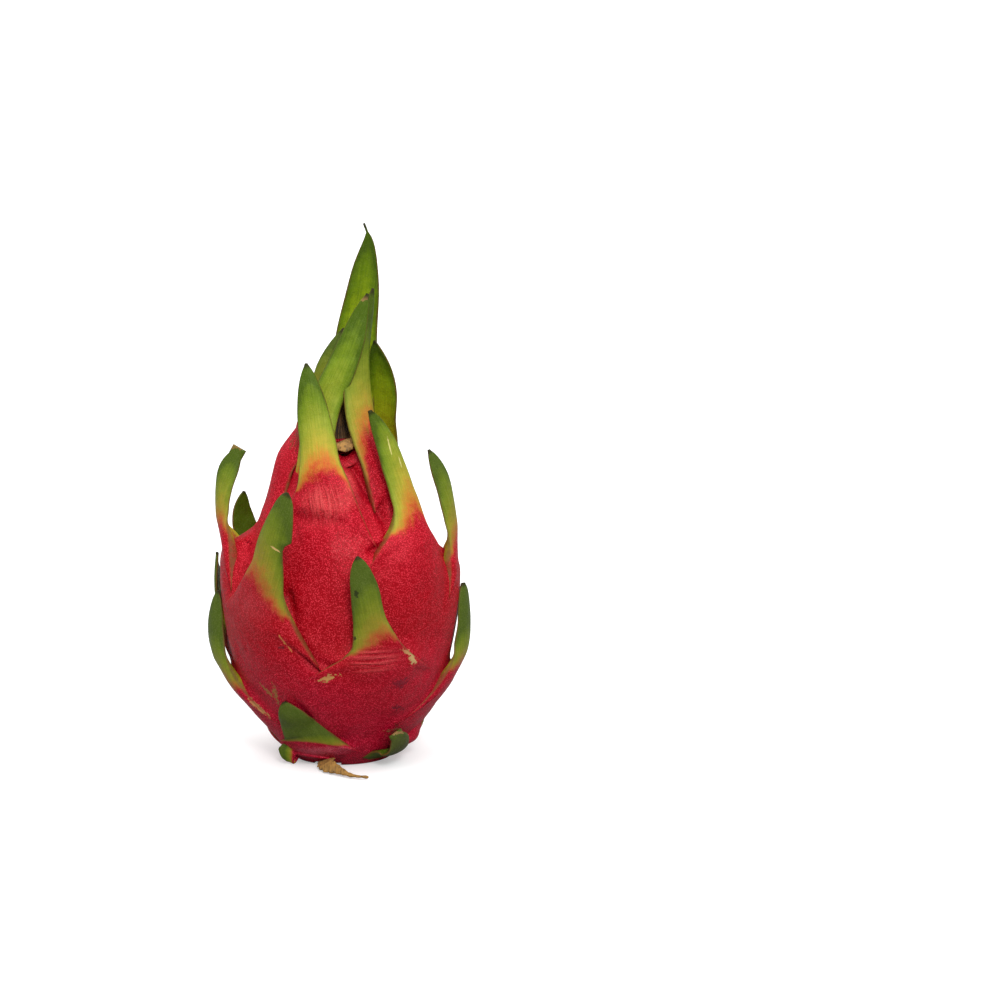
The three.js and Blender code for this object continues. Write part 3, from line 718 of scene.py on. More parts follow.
def standing_faces(k, u, t, half, centre, along):
    """The outer and inner faces of scale k as a free blade: an arc across each step of the
    middle line, bent to a radius that goes from the fruit's to the cup's."""
    scale = scales[k]
    up = np.maximum(u[:, 0], 0)
    facing = at_azimuth(scale["azimuth"] + turned(scale["azimuth"], scale["facing"]) * up, 1, 0)
    lateral = unit(np.cross(along, facing))
    outward = np.cross(lateral, along)[:, None]
    bend = lerp(float(bare_radius(scale["root"])), scale["cup"], smoothstep(u, 0, 0.4))
    angle = (t * half / bend)[..., None]
    normal = np.cos(angle) * outward + np.sin(angle) * lateral[:, None]
    flutter = FLUTTER * t**2 * np.sin(7 * u + 1.7 * k + 1.2 * np.sign(t)) * smoothstep(u, 0.25, 0.6)
    rounding = margin_rounding(t)
    inset = (1 - rounding) * EDGE
    outer = centre[:, None] - bend[..., None] * outward + (bend + flutter - inset)[..., None] * normal
    v = np.maximum(u, 0)
    thickest = lerp(lerp(THICKNESS["root"], THICKNESS["upper"], v), THICKNESS["tip"], v**4)
    thickness = lerp(MARGIN_THICKNESS, np.maximum(thickest, MARGIN_THICKNESS), 1 - t * t)
    return outer, outer - (lerp(EDGE, thickness, rounding) - inset)[..., None] * normal


print("a blade is", THICKNESS["root"], "mm thick low down and", THICKNESS["upper"], "mm higher up")

# %% [markdown]
# ## A whole scale
# On a real fruit nobody can say where the skin ends and the scale begins. A blade that is
# pushed into the skin, or joined to it by a boolean, shows a sharp line there. So each point has
# a place as skin and a place as blade, and moves from the first to the second over the first
# third of the scale's length.

# %% Scale faces
ATTACHED_SHARE = 0.3


def scale_faces(k):
    """The outer and inner faces of scale k as two grids of points, with its u, t and length."""
    u, t = np.meshgrid(UP, ACROSS, indexing="ij")
    centre, along, length = middle_line(k, np.maximum(UP, 0))
    half = half_width(k, u, t)
    rooted = rooted_faces(k, u, t, half, centre)
    standing = standing_faces(k, u, t, half, centre, along)
    free = smoothstep(u, 0, ATTACHED_SHARE)[..., None]
    outer, inner = (lerp(low, high, free) for low, high in zip(rooted, standing))
    return outer, inner, u, t, length


sample = scale_faces(6)
rows, columns = sample[0].shape[:2]
print("one scale:", rows, "by", columns, "points on each face,", round(sample[4], 1), "mm long")

# %% [markdown]
# ## Numbers for colour
# Colour follows growth, not place: red at the root, yellow where the blade leaves the fruit,
# green beyond, and green for longer along the margins. So each point carries a few numbers:
# how green it is, how near a margin, a tip or an inner face, and how far along and across its
# blade, which the finish reads later.

# %% Numbers for colour
NUMBERS = ("green", "margin", "tip", "inner", "dull", "along", "across")
GREEN_START = 0.34
GREEN_RISE = 0.55
MARGIN_GREEN = dict(more=0.42, reach=1.8)
WING_REACH = 9
TIP_GREEN = 0.25
INNER_GREEN = 0.08


def scale_numbers(k, u, t, length, inner):
    """The colour numbers of one face of scale k. Green rises by a straight line along u, more
    at the margins, and fades out on the wings, beyond the width of the blade."""
    scale = scales[k]
    margin = np.abs(t)
    half = half_width(k, u, t)
    inwards, beyond = (1 - margin) * half, np.maximum(margin * half - scale["blade"], 0)
    green = GREEN_START + (u - scale["turn"] + scale["skew"] * t) / scale["blend"] * GREEN_RISE
    near = np.exp(-inwards / MARGIN_GREEN["reach"]) * smoothstep(u, -0.05, 0.15)
    green = green + MARGIN_GREEN["more"] * near - beyond / WING_REACH
    green = green + TIP_GREEN * smoothstep(u, 0.82, 1) + INNER_GREEN * inner
    tip = np.zeros_like(u) if scale["torn"] else smoothstep(u, 0.93, 1)
    return dict(green=green, margin=margin**6 * smoothstep(u, -0.3, 0.1), tip=tip,
                inner=np.full(u.shape, float(inner)), dull=np.full(u.shape, scale["dull"]),
                along=u * length, across=t * half)


greens = scale_numbers(6, *sample[2:], 0)["green"]
print("green runs from", round(float(greens.min()), 2), "to", round(float(greens.max()), 2))

# %% [markdown]
# ## The whole peel
# The peel is one piece on the real fruit, so the body and all its scales go into one mesh. A
# scale's rings run out along its outer face and back along its inner one, and its first ring is
# hidden inside the fruit, so nothing needs to be welded. On the body, all the numbers for
# colour are at rest.

# %% Fruit mesh
def wrapped(outer, inner):
    """Rings that run along the rows of the outer face and back along those of the inner."""
    return np.concatenate([outer, inner[:, -2:0:-1]], axis=1)


points, faces = [body_points], [body_faces]
numbers = {key: [np.full(len(body_points), -1.0 if key == "green" else 0.0)] for key in NUMBERS}
count = len(body_points)
for k in range(len(scales)):
    outer, inner, *grids = scale_faces(k)
    more_points, more_faces = closed(wrapped(outer, inner))
    outer_numbers, inner_numbers = (scale_numbers(k, *grids, side) for side in (0, 1))
    for key in NUMBERS:
        both = wrapped(outer_numbers[key], inner_numbers[key])
        numbers[key] += [both.ravel(), [both[0].mean(), both[-1].mean()]]
    points.append(more_points)
    faces.append(more_faces + count)
    count += len(more_points)
fruit_points = np.concatenate(points)
fruit_points[:, 2] = np.maximum(fruit_points[:, 2], 0)
fruit = mesh_object("fruit_peel", fruit_points, np.concatenate(faces),
                    {key: np.concatenate(parts) for key, parts in numbers.items()})
print("fruit:", len(fruit.data.vertices), "points,", 2 * len(fruit.data.polygons), "triangles")

# %% [markdown]
# ## The withered flower
# After the blossom drops, its base stays as a brown plug that fills the navel and is drawn up
# into a ribbed, fibrous point. It could be a bundle of separate fibres, but so little of it is
# seen between the scales that one turned shape serves. A profile gives its radius at each
# height, and ribs narrow it in waves round the axis that grow towards the top.

# %% Flower cone
FLOWER_PROFILE = [(104.5, 5.3), (105.6, 7), (110, 8.3), (116, 8.3), (119.5, 7.3), (124, 5.3),
                  (130, 3.8), (136, 2.5), (141, 1.1)]
FLOWER_GRID = (70, 132)
RIBS = dict(broad=11, fine=33, low=0.05, more=0.2)
FLOWER_LEAN = np.array([1.5, 0.8])
LEAN_HEIGHT = 38


def turned_grid(profile, rows, count):
    """Heights and azimuths of a shape turned on a lathe, as two grids."""
    heights = np.linspace(profile[0][0], profile[-1][0], rows)
    return np.meshgrid(heights, np.arange(count) * 360 / count, indexing="ij")


z, azimuth = turned_grid(FLOWER_PROFILE, *FLOWER_GRID)
above = z - NAVEL["floor"]
ribbing = RIBS["low"] + RIBS["more"] * smoothstep(z, 117, 126)
waves = 0.5 - 0.5 * np.cos(np.radians(azimuth * RIBS["broad"] + 4 * above))
waves = 0.75 * waves + 0.25 * (0.5 - 0.5 * np.cos(np.radians(azimuth * RIBS["fine"] - 3 * z)))
flower_rings = at_azimuth(azimuth, through_points(FLOWER_PROFILE, z) * (1 - ribbing * waves), z)
flower_rings[..., :2] += FLOWER_LEAN * ((above / LEAN_HEIGHT) ** 2)[..., None]
flower_cone = closed(flower_rings)
print("flower cone:", len(flower_cone[1]), "faces")

# %% [markdown]
# ## Dry strips
# A papery scrap on the rim and the torn skin of the stalk are both dry strips: a thin section
# carried along a path, as wide as each step says and facing the way each step says. The strip
# is cupped across, its margins are ragged in waves, and it is thinnest at its sides. A path
# is easier to lay where the strip should go than a sheet is to bend into place.

# %% Strips
STRIP_THICKNESS = 1.0


def strip(steps, ragged, cupped, count=60, sides=9):
    """Rings of a strip. A spline runs through the steps' places; half widths and facings are
    drawn smoothly between steps; the two faces part by a thickness that fades to its margins."""
    places, widths, facings = (np.array(column, float) for column in zip(*steps))
    line = spline(places)
    reach = length_along(line)
    knots = np.append(reach[::PIECE_STEPS][:len(steps) - 1], reach[-1])
    s = np.linspace(0, reach[-1], count)
    centre = read_along(s, reach, line)
    along = unit(np.gradient(centre, s, axis=0))
    facing = np.stack([through_points(np.stack([knots, f], -1), s) for f in facings.T], -1)
    side = unit(np.cross(along, facing))
    out = np.cross(side, along)[:, None]
    half = through_points(np.stack([knots, widths], -1), s)[:, None]
    across = np.sin(np.linspace(-1, 1, sides) * math.pi / 2)[None, :]
    s = s[:, None]
    rag = 1 + ragged * (np.sin(2.1 * s) * np.where(across > 0, 1, -0.6) + 0.5 * np.sin(5.3 * s))
    curve = cupped * half * across**2 + 0.12 * np.sin(1.9 * s) * across
    thick = STRIP_THICKNESS / 2 * np.sqrt(1 - across**6) * (0.75 + 0.25 * np.sin(1.3 * s))
    base = centre[:, None] + (across * half * rag)[..., None] * side[:, None]
    return wrapped(base + (curve + thick)[..., None] * out, base + (curve - thick)[..., None] * out)


def with_papery(name, solid, sheet, lowest=0.0):
    """One object from a solid tube and a papery one, each as points and faces. Its number
    papery is 0 on the first and 1 on the second, and points below lowest are raised to it."""
    points = np.concatenate([solid[0], sheet[0]])
    points[:, 2] = np.maximum(points[:, 2], lowest)
    papery = np.repeat([0.0, 1.0], [len(solid[0]), len(sheet[0])])
    return mesh_object(name, points, np.concatenate([solid[1], sheet[1] + len(solid[0])]),
                       {"papery": papery})


SCRAP = [((1, -4.5, 113.4), 3.8, (0, -0.5, 1)), ((1.4, -8, 115.6), 4.6, (-0.1, -0.7, 1)),
         ((1.8, -11.2, 116.8), 4.9, (-0.25, -0.8, 1)), ((1.8, -13.4, 116.2), 4.3, (-0.3, -1.4, 1)),
         ((1, -14.9, 113.9), 2, (-0.3, -2, 1))]
flower = with_papery("withered_flower", flower_cone, closed(strip(SCRAP, 0.06, -0.12)))
print("withered flower:", 2 * len(flower.data.polygons), "triangles")

# %% [markdown]
# ## The dry stalk
# Under the fruit a stub of stalk sits in its hollow, and one strip of its skin has torn off,
# runs out through the arch in the foot and curls along the table to a thread. The stub is
# turned from a profile, with shallow ribs, and the strip is made as the papery scrap is.

# %% Stalk mesh
STUB_PROFILE = [(1.2, 3.3), (2.4, 4.9), (4.2, 4.5), (5, 2.9)]
STUB_GRID = (16, 60)
STUB_RIBS = dict(count=5, depth=0.07)
PEELING = [((-0.6, -2, 2.6), 2.3, (0, -0.2, 1)), ((-2.6, -9, 2.2), 2.7, (0, -0.2, 1)),
           ((-4.4, -16, 2.1), 3.1, (-0.2, -0.4, 1)), ((-5, -23, 2.6), 3.2, (-0.4, -1, 1)),
           ((-3.8, -28.5, 2.6), 2.7, (-0.3, -1.6, 1)), ((0, -32.6, 2), 1.6, (0, -1.6, 1)),
           ((5, -37, 1.2), 0.7, (0, -0.6, 1)), ((10.9, -39.7, 1.2), 0.3, (0, -0.4, 1))]
ABOVE_TABLE = 0.1

z, azimuth = turned_grid(STUB_PROFILE, *STUB_GRID)
ribs = 1 - STUB_RIBS["depth"] * (1 - np.cos(np.radians(STUB_RIBS["count"] * azimuth)))
stub = closed(at_azimuth(azimuth, through_points(STUB_PROFILE, z) * ribs, z))
peeling = closed(strip(PEELING, 0.1, -0.1, count=110))
stalk = with_papery("dry_stalk", stub, peeling, ABOVE_TABLE)
print("dry stalk:", 2 * len(stalk.data.polygons), "triangles")

# %% [markdown]
# ## Building finishes from nodes
# A finish is a small network that turns places into colours. Writing it node by node is long,
# so a few helpers carry it. The first fills a node's inputs with numbers or with other nodes'
# outputs, and the rest each add one kind of node and hand back what it puts out.

# %% Node helpers
def fill(tree, node, values):
    """Each input, by name or number, is linked if it is given a socket and set if not."""
    for key, value in values.items():
        if isinstance(value, bpy.types.NodeSocket):
            tree.links.new(value, node.inputs[key])
        else:
            node.inputs[key].default_value = value


def add(tree, kind, values, **settings):
    """A node of this kind, with its settings and its inputs filled."""
    made = tree.nodes.new("ShaderNode" + kind)
    for key, value in settings.items():
        setattr(made, key, value)
    fill(tree, made, values)
    return made


def mixed(tree, share, low, high, blend="MIX"):
    """The colour low where share is 0 and high where it is 1."""
    made = add(tree, "Mix", {0: share, 6: low, 7: high}, data_type="RGBA", blend_type=blend)
    return made.outputs[2]


def ranged(tree, value, low, high, to_low=0.0, to_high=1.0, curve="SMOOTHSTEP"):
    """value between low and high, stretched to the range to_low..to_high."""
    made = add(tree, "MapRange", {"Value": value, "From Min": low, "From Max": high,
                                  "To Min": to_low, "To Max": to_high}, interpolation_type=curve)
    return made.outputs["Result"]


print("helpers that add nodes:", [helper.__name__ for helper in (add, mixed, ranged)])

# %% [markdown]
# ## Numbers from nodes
# Most of a finish is arithmetic on numbers that change over the surface. These helpers put out
# one number or vector each: a sum or product, noise, a number carried by the mesh, or the place
# on the object in millimetres, so that every pattern has a real size.

# %% Number helpers
def worked(tree, operation, first, second):
    """One sum, product or other operation on two numbers."""
    return add(tree, "Math", {0: first, 1: second}, operation=operation).outputs[0]


def times(tree, first, second):
    """The product of two numbers."""
    return worked(tree, "MULTIPLY", first, second)


def total(tree, first, *more):
    """The sum of two or more numbers."""
    for value in more:
        first = worked(tree, "ADD", first, value)
    return first


def noise(tree, where, scale, detail):
    """Cloudy noise that wanders about 0.5, with this many of its waves to the unit of where."""
    return add(tree, "TexNoise", {"Vector": where, "Scale": scale, "Detail": detail}).outputs["Fac"]


def attribute(tree, name):
    """The number that each point of the mesh carries under this name."""
    return add(tree, "Attribute", {}, attribute_name=name).outputs["Fac"]


def size_of(tree, vector):
    """The length of a vector."""
    return add(tree, "VectorMath", {0: vector}, operation="LENGTH").outputs["Value"]


def millimetres(tree):
    """Object coordinates, in millimetres."""
    place = add(tree, "TexCoord", {}).outputs["Object"]
    return add(tree, "VectorMath", {0: place, "Scale": 1 / MM}, operation="SCALE").outputs[0]


number_helpers = (worked, times, total, noise, attribute, size_of, millimetres)
print("helpers that give numbers:", [helper.__name__ for helper in number_helpers])

# %% [markdown]
# ## Groups of nodes
# An effect that turns up in more than one finish is built once, as a group with named inputs,
# and placed wherever it is needed with its own values.

# %% Group helpers
def group(name, inputs, outputs):
    """An empty node group with named inputs and outputs, and its two end nodes."""
    tree = bpy.data.node_groups.new(name, "ShaderNodeTree")
    for key, kind, value in inputs:
        socket = tree.interface.new_socket(key, in_out="INPUT", socket_type="NodeSocket" + kind)
        socket.default_value = value
    for key, kind in outputs:
        tree.interface.new_socket(key, in_out="OUTPUT", socket_type="NodeSocket" + kind)
    return tree, tree.nodes.new("NodeGroupInput").outputs, tree.nodes.new("NodeGroupOutput")


def placed(tree, shared, values):
    """A shared group, placed in a tree with its own values."""
    made = tree.nodes.new("ShaderNodeGroup")
    made.node_tree = shared
    fill(tree, made, values)
    return made.outputs[0]


print("helpers for groups:", [helper.__name__ for helper in (group, placed)])

# %% [markdown]
# ## Mottle
# The pale dots of the peel and the specks of mould on dry tissue are both small soft dots, some
# distance apart and never in rows. A Voronoi texture scatters one point in each cell, and the
# distance to the nearest one, cut off at a reach, makes a dot.

# %% Mottle
mottle, had, end = group("mottle", [("Vector", "Vector", (0, 0, 0)), ("Spacing", "Float", 1.0),
                                    ("Reach", "Float", 0.4), ("Softness", "Float", 0.2)],
                         [("Dots", "Float")])
scaled = add(mottle, "VectorMath", {0: had["Vector"], 1: had["Spacing"]}, operation="DIVIDE")
cells = add(mottle, "TexVoronoi", {"Vector": scaled.outputs[0], "Scale": 1.0}, feature="F1")
gap = worked(mottle, "SUBTRACT", had["Reach"], cells.outputs["Distance"])
dots = add(mottle, "Clamp", {"Value": worked(mottle, "DIVIDE", gap, had["Softness"])})
fill(mottle, end, {"Dots": dots.outputs[0]})
print("mottle takes", [socket.name for socket in had if socket.name])

# %% [markdown]
# ## Patch
# A scar, a bruise and a stain are each a ragged spot at one place. A Mapping node carries the
# place into the patch's own frame, where the spot is a ball of radius 1, and noise eats into
# the ball's edge.

# %% Patch
RAGGED_REACH = 4.0
PATCH_EDGE = 1.15

patch, had, end = group("patch", [("Vector", "Vector", (0, 0, 0)), ("Place", "Vector", (0, 0, 0)),
                                  ("Turn", "Vector", (0, 0, 0)), ("Size", "Vector", (1, 1, 1)),
                                  ("Ragged", "Float", 0.5), ("Grain", "Float", 1.0),
                                  ("Inner", "Float", 0.75)], [("Mask", "Float")])
local = add(patch, "Mapping", {"Vector": had["Vector"], "Location": had["Place"],
                               "Rotation": had["Turn"], "Scale": had["Size"]},
            vector_type="TEXTURE")
uneven = worked(patch, "SUBTRACT", noise(patch, had["Vector"], had["Grain"], 3.0), 0.5)
uneven = times(patch, times(patch, uneven, had["Ragged"]), RAGGED_REACH)
edge = total(patch, size_of(patch, local.outputs[0]), uneven)
fill(patch, end, {"Mask": ranged(patch, edge, PATCH_EDGE, had["Inner"])})
print("patch takes", [socket.name for socket in had if socket.name])

# %% [markdown]
# ## Streaks
# The veins of a scale and the fibres of a dry flower are long soft lines. Noise that is read
# in steps of a short width across and a long length along is drawn out into just such lines.

# %% Streaks
streaks, had, end = group("streaks", [("Along", "Float", 0.0), ("Across", "Float", 0.0),
                                      ("Width", "Float", 0.6), ("Length", "Float", 12.0)],
                          [("Streak", "Float")])
lined = add(streaks, "CombineXYZ", {"X": worked(streaks, "DIVIDE", had["Across"], had["Width"]),
                                    "Y": worked(streaks, "DIVIDE", had["Along"], had["Length"])})
fill(streaks, end, {"Streak": noise(streaks, lined.outputs[0], 1.0, 2.0)})
print("shared groups:", [tree.name for tree in (mottle, patch, streaks)])

# %% [markdown]
# ## Colours and materials
# Colours are easiest to pick as the values of a screen, but nodes work in linear light, so one
# helper turns the first into the second. A ramp blends between several colours as a number
# climbs. Each finish starts as an empty material that every other cell can add to.

# %% Colour helpers
SCREEN_CURVE = 2.2


def tint(red, green, blue):
    """A colour of screen values 0 to 255 as linear light: each share to the power 2.2."""
    return tuple((value / 255) ** SCREEN_CURVE for value in (red, green, blue)) + (1.0,)


def ramp(tree, value, stops):
    """A colour for each value, blended between stops of a place and its screen colour."""
    made = add(tree, "ValToRGB", {"Fac": value})
    made.color_ramp.interpolation = "LINEAR"
    while len(made.color_ramp.elements) < len(stops):
        made.color_ramp.elements.new(1.0)
    for element, (place, colour) in zip(made.color_ramp.elements, stops):
        element.position, element.color = place, tint(*colour)
    return made.outputs["Color"]


def finish(name):
    """A material with an empty network: the material, its tree and its shader."""
    material = bpy.data.materials.new(name)
    material.use_nodes = True
    tree = material.node_tree
    return material, tree, tree.nodes["Principled BSDF"]


print("middle grey as linear light:", round(tint(128, 128, 128)[0], 3))

# %% [markdown]
# ## Red skin
# Living peel is waxy red skin full of tiny pale dots. Its red follows the height, pushed up and down
# by broad noise: darker and more purple towards the base, and brightest on the shoulders, where it is
# partly a painted highlight of the light from overhead. The dots are mottle, stronger in some places
# than in others, with a darker red between them.

# %% Red skin
SKIN_DOTS = dict(Spacing=0.48, Reach=0.46, Softness=0.26)
BETWEEN_DOTS = tint(120, 0, 16)
DOT_COLOUR = tint(238, 84, 98)

peel, tree, shader = finish("peel")
here = millimetres(tree)
xyz = add(tree, "SeparateXYZ", {0: here}).outputs
broad, fine = noise(tree, here, 0.035, 3.0), noise(tree, here, 0.35, 4.0)
rise = total(tree, worked(tree, "DIVIDE", xyz["Z"], 100.0), ranged(tree, broad, 0.2, 0.8, -0.08, 0.08))
# The bright top stops are partly a painted highlight of the overhead light on the shoulders.
red = ramp(tree, rise, [(0.1, (212, 24, 70)), (0.3, (206, 8, 54)), (0.5, (184, 2, 30)),
                        (0.66, (198, 3, 34)), (0.82, (224, 12, 46)), (1.0, (226, 20, 50))])
pale_dots = placed(tree, mottle, {"Vector": here, **SKIN_DOTS})
red = mixed(tree, 0.75, red, mixed(tree, pale_dots, BETWEEN_DOTS, red))
strength = ranged(tree, fine, 0.3, 0.7, 0.26, 0.46)
red = mixed(tree, times(tree, pale_dots, strength), red, DOT_COLOUR)
print("skin dots are", SKIN_DOTS["Spacing"], "mm apart")

# %% [markdown]
# ## Green blades
# Up a scale the red turns orange, yellow and green, duller on the low scales that have had more
# sun and knocks, with fine veins along the blade. The inner face is a yellower green. All of it
# follows the number green that each point carries, so the change of colour runs along each
# blade however it bends.

# %% Green blades
VEIN_SHADE = tint(196, 206, 110)

along, across = attribute(tree, "along"), attribute(tree, "across")
veins = placed(tree, streaks, {"Along": along, "Across": across, "Width": 0.55, "Length": 14.0})
green = total(tree, attribute(tree, "green"), ranged(tree, fine, 0.2, 0.8, -0.05, 0.05),
              ranged(tree, veins, 0.25, 0.75, -0.025, 0.025))
fresh = ramp(tree, green, [
    (0.0, (204, 50, 40)), (0.16, (206, 122, 48)), (0.34, (182, 166, 58)),
    (0.54, (150, 160, 52)), (0.78, (116, 140, 36)), (1.0, (76, 100, 24))])
worn = ramp(tree, green, [
    (0.0, (160, 40, 46)), (0.16, (150, 84, 44)), (0.34, (124, 112, 38)),
    (0.54, (106, 112, 32)), (0.78, (90, 102, 30)), (1.0, (74, 88, 32))])
shaded = ramp(tree, times(tree, green, 0.7), [
    (0.0, (190, 158, 44)), (0.34, (184, 194, 36)), (0.55, (152, 172, 26)),
    (0.72, (104, 130, 20)), (0.9, (68, 90, 18))])
blade = mixed(tree, attribute(tree, "dull"), fresh, worn)
blade = mixed(tree, times(tree, attribute(tree, "inner"), 0.9), blade, shaded)
blade = mixed(tree, ranged(tree, veins, 0.35, 0.65, 0.0, 0.3), blade, VEIN_SHADE, "MULTIPLY")
blade = mixed(tree, times(tree, pale_dots, 0.05), blade, tint(206, 204, 130))
colour = mixed(tree, ranged(tree, green, -0.02, 0.2), red, blade)
print("red skin and green blades meet in", len(tree.nodes), "nodes")

# %% [markdown]
# ## Marks of a life outdoors
# Each scar, bruise and scratch is one patch on the skin. A row gives its kind, then its
# azimuth, radius and height. Its size is across, through and up, in millimetres, and its slant
# lays it level or tips it. The last values say how ragged it is, its colour, and how much of
# the skin it hides. Marks could be brushed onto an image, but a patch stays sharp from close
# by, needs no file, and can be moved by changing one number.

# %% Peel marks
MARKS = [
    ("corky", 37, 45, 43.5, (1.6, 4, 2.6), -24, 0.9, (178, 146, 98), 1.0),
    ("corky", 33.5, 45, 46, (2.4, 4, 0.7), 24, 0.9, (176, 140, 92), 0.9),
    ("corky", -4, 43, 37.5, (3.4, 4, 1.1), -16, 0.9, (172, 128, 76), 0.95),
    ("corky", -37, 39, 28.5, (1.2, 4, 4.0), 12, 1.0, (140, 104, 54), 0.85),
    ("corky", -42, 39, 29, (1.0, 4, 3.6), -48, 1.0, (140, 104, 54), 0.85),
    ("corky", -57, 34, 21.5, (4.2, 5, 0.9), 42, 1.0, (170, 128, 80), 0.85),
    ("corky", 53, 11.6, 167.5, (1.0, 4, 0.9), 0, 0.8, (150, 120, 74), 0.9),
    ("scratch", 42.5, 27.2, 116.5, (0.3, 5, 3.4), -8, 0.35, (206, 196, 120), 0.85),
    ("scratch", 49.8, 29.4, 110.5, (0.3, 5, 1.6), -6, 0.35, (206, 196, 120), 0.85),
    ("scratch", -24, 46, 50, (0.4, 4, 4.0), -34, 0.8, (186, 120, 70), 0.7),
    ("scratch", -26, 47.5, 84, (2.2, 4, 0.35), 30, 0.5, (206, 168, 110), 0.9),
    ("bruise", 32.5, 42, 34, (3.0, 4, 1.9), 0, 1.0, (92, 24, 40), 0.6),
    ("bruise", 37, 38.5, 23.5, (4.2, 4, 1.1), 18, 0.9, (78, 26, 36), 0.7),
    ("bruise", 12, 33, 14, (2.2, 4, 0.7), -10, 0.9, (74, 34, 40), 0.6),
    ("bruise", 8, 46, 52.6, (0.9, 4, 0.7), 0, 0.8, (34, 36, 24), 0.85),
    ("bruise", 9, 48, 69, (0.7, 4, 1.2), 0, 0.8, (34, 36, 24), 0.75),
    ("bruise", 7, 48, 62, (0.5, 4, 0.6), 0, 0.8, (40, 40, 26), 0.7),
    ("bruise", 42, 32, 8, (6, 5, 7), 0, 0.5, (66, 66, 42), 0.6),
    ("bruise", -66, 20, 119, (3, 6, 5), -20, 0.9, (104, 62, 36), 0.6),
    ("bruise", -26, 43, 48, (1.2, 4, 0.8), 0, 0.8, (70, 30, 36), 0.6),
    ("corky", -97, 36.8, 112.2, (5, 5, 0.9), 12, 1.0, (130, 100, 58), 0.8),
    ("corky", 37, 33.8, 14, (5, 4, 0.6), 0, 1.0, (150, 116, 74), 0.8),
]
GRAIN = 1.1
FIRM = 0.75


def on_skin(azimuth, radius, z):
    """A place on the fruit as three plain numbers."""
    return tuple(float(value) for value in at_azimuth(azimuth, radius, z))


def spot(tree, here, azimuth, radius, z, size, slant, ragged, inner):
    """The mask of one patch, which is full within the share inner of its size."""
    turn = (0, math.radians(slant), math.radians(azimuth))
    return placed(tree, patch, {"Vector": here, "Place": on_skin(azimuth, radius, z), "Turn": turn,
                                "Size": size, "Ragged": ragged, "Grain": GRAIN, "Inner": inner})


for kind, *where, ragged, shade, amount in MARKS:
    mask = spot(tree, here, *where, ragged, FIRM)
    colour = mixed(tree, times(tree, mask, amount), colour, tint(*shade))
kinds = [mark[0] for mark in MARKS]
print({kind: kinds.count(kind) for kind in sorted(set(kinds))})

# %% [markdown]
# ## Painted highlights and shade
# Between the scales the skin is never smooth. Modelling its slightest folds would need a far finer
# mesh, so their light and shade are painted on instead: a paler painted highlight on their backs and a
# darker painted shade in their hollows. Each is a wide patch with a soft edge, which keeps off the
# green blades and lets the dots show through.

# %% Painted highlights and shade
# Pale rows are painted highlights on the backs of folds and bulges, and dark rows are painted shade in
# hollows and under lips. The first row, round the foot, is partly paler skin and partly painted
# highlight.
PAINTED_HIGHLIGHTS_AND_SHADE = [
    (-14, 30, 6.4, (20, 9, 3.2), -6, (240, 122, 142), 0.9),
    (7, 44, 84, (12, 12, 8), -20, (252, 116, 118), 0.58),
    (-8, 33, 98.5, (11, 9, 6), 0, (246, 96, 92), 0.52),
    (36, 40, 84, (9, 8, 11), 0, (244, 84, 96), 0.18),
    (-42, 46, 62, (15, 9, 9), 0, (206, 92, 96), 0.24),
    (11, 25, 104, (4.5, 12, 12), 10, (250, 106, 102), 0.5),
    (-8, 37, 91.5, (13, 9, 2.4), 0, (120, 4, 20), 0.5),
    (17, 41, 84.5, (4, 9, 4), 0, (246, 96, 100), 0.5),
    (26, 46, 46.5, (20, 9, 4), 0, (120, 12, 30), 0.42),
    (26, 26, 103, (4, 9, 11), 12, (110, 6, 20), 0.65),
    (-50, 24, 108, (9, 9, 10), 0, (150, 12, 26), 0.55),
    (-88, 42, 78, (5, 9, 8), 0, (240, 40, 60), 0.25),
]
PAINTED_PATCH_RAGGED = 0.3
SOFT = 0.0

skin_only = times(tree, ranged(tree, green, 0.3, 0.0), ranged(tree, pale_dots, 0, 1, 0.6, 1.0))
# Each patch paints a highlight or a shade onto the red skin.
for *where, shade, amount in PAINTED_HIGHLIGHTS_AND_SHADE:
    mask = times(tree, spot(tree, here, *where, PAINTED_PATCH_RAGGED, SOFT), skin_only)
    colour = mixed(tree, times(tree, mask, amount), colour, tint(*shade))
print(len(PAINTED_HIGHLIGHTS_AND_SHADE), "slight folds")

# %% [markdown]
# ## Margins and gloss
# The margins and tips of the scales dry first, so they go brown, in a thin uneven line and a
# dark point. Both follow numbers that the mesh carries, because a place in space can't tell a
# margin from the middle of a blade. The skin has a soft wax gloss, broken a little by noise.

# %% Margins and gloss
brown = times(tree, ranged(tree, attribute(tree, "margin"), 0.45, 0.95),
              ranged(tree, fine, 0.25, 0.6, 0.35, 0.8))
colour = mixed(tree, brown, colour, tint(104, 72, 40))
tip = ranged(tree, attribute(tree, "tip"), 0.2, 1.0, 0.0, 0.85)
colour = mixed(tree, tip, colour, tint(44, 36, 24))
fill(tree, shader, {"Roughness": ranged(tree, fine, 0.25, 0.75, 0.38, 0.54),
                    "Specular IOR Level": 0.1})
print("peel material so far:", len(tree.nodes), "nodes")

# %% [markdown]
# ## Relief
# The relief of the skin is small: raised dots, a leathery grain, veins along the blades, and low broad
# lumps. In two places, under the top and the middle scale, the skin is gathered into wrinkles. These
# are streaks within a soft ball, and their ridges carry a painted highlight, a little paler. Relief
# too small for the mesh goes into the bump, in millimetres.

# %% Peel relief
WRINKLES = [
    (-9, 32, 98, (11, 12, 10), along, across, 0.9, 0.42),
    (17, 46, 44, (12, 9, 6), xyz["X"], xyz["Z"], 1.0, 0.4),
]
WRINKLE_LENGTH = 18.0


def raise_relief(tree, shader, height, strength):
    """A bump from a height in millimetres."""
    bump = add(tree, "Bump", {"Height": height, "Distance": MM, "Strength": strength})
    fill(tree, shader, {"Normal": bump.outputs["Normal"]})


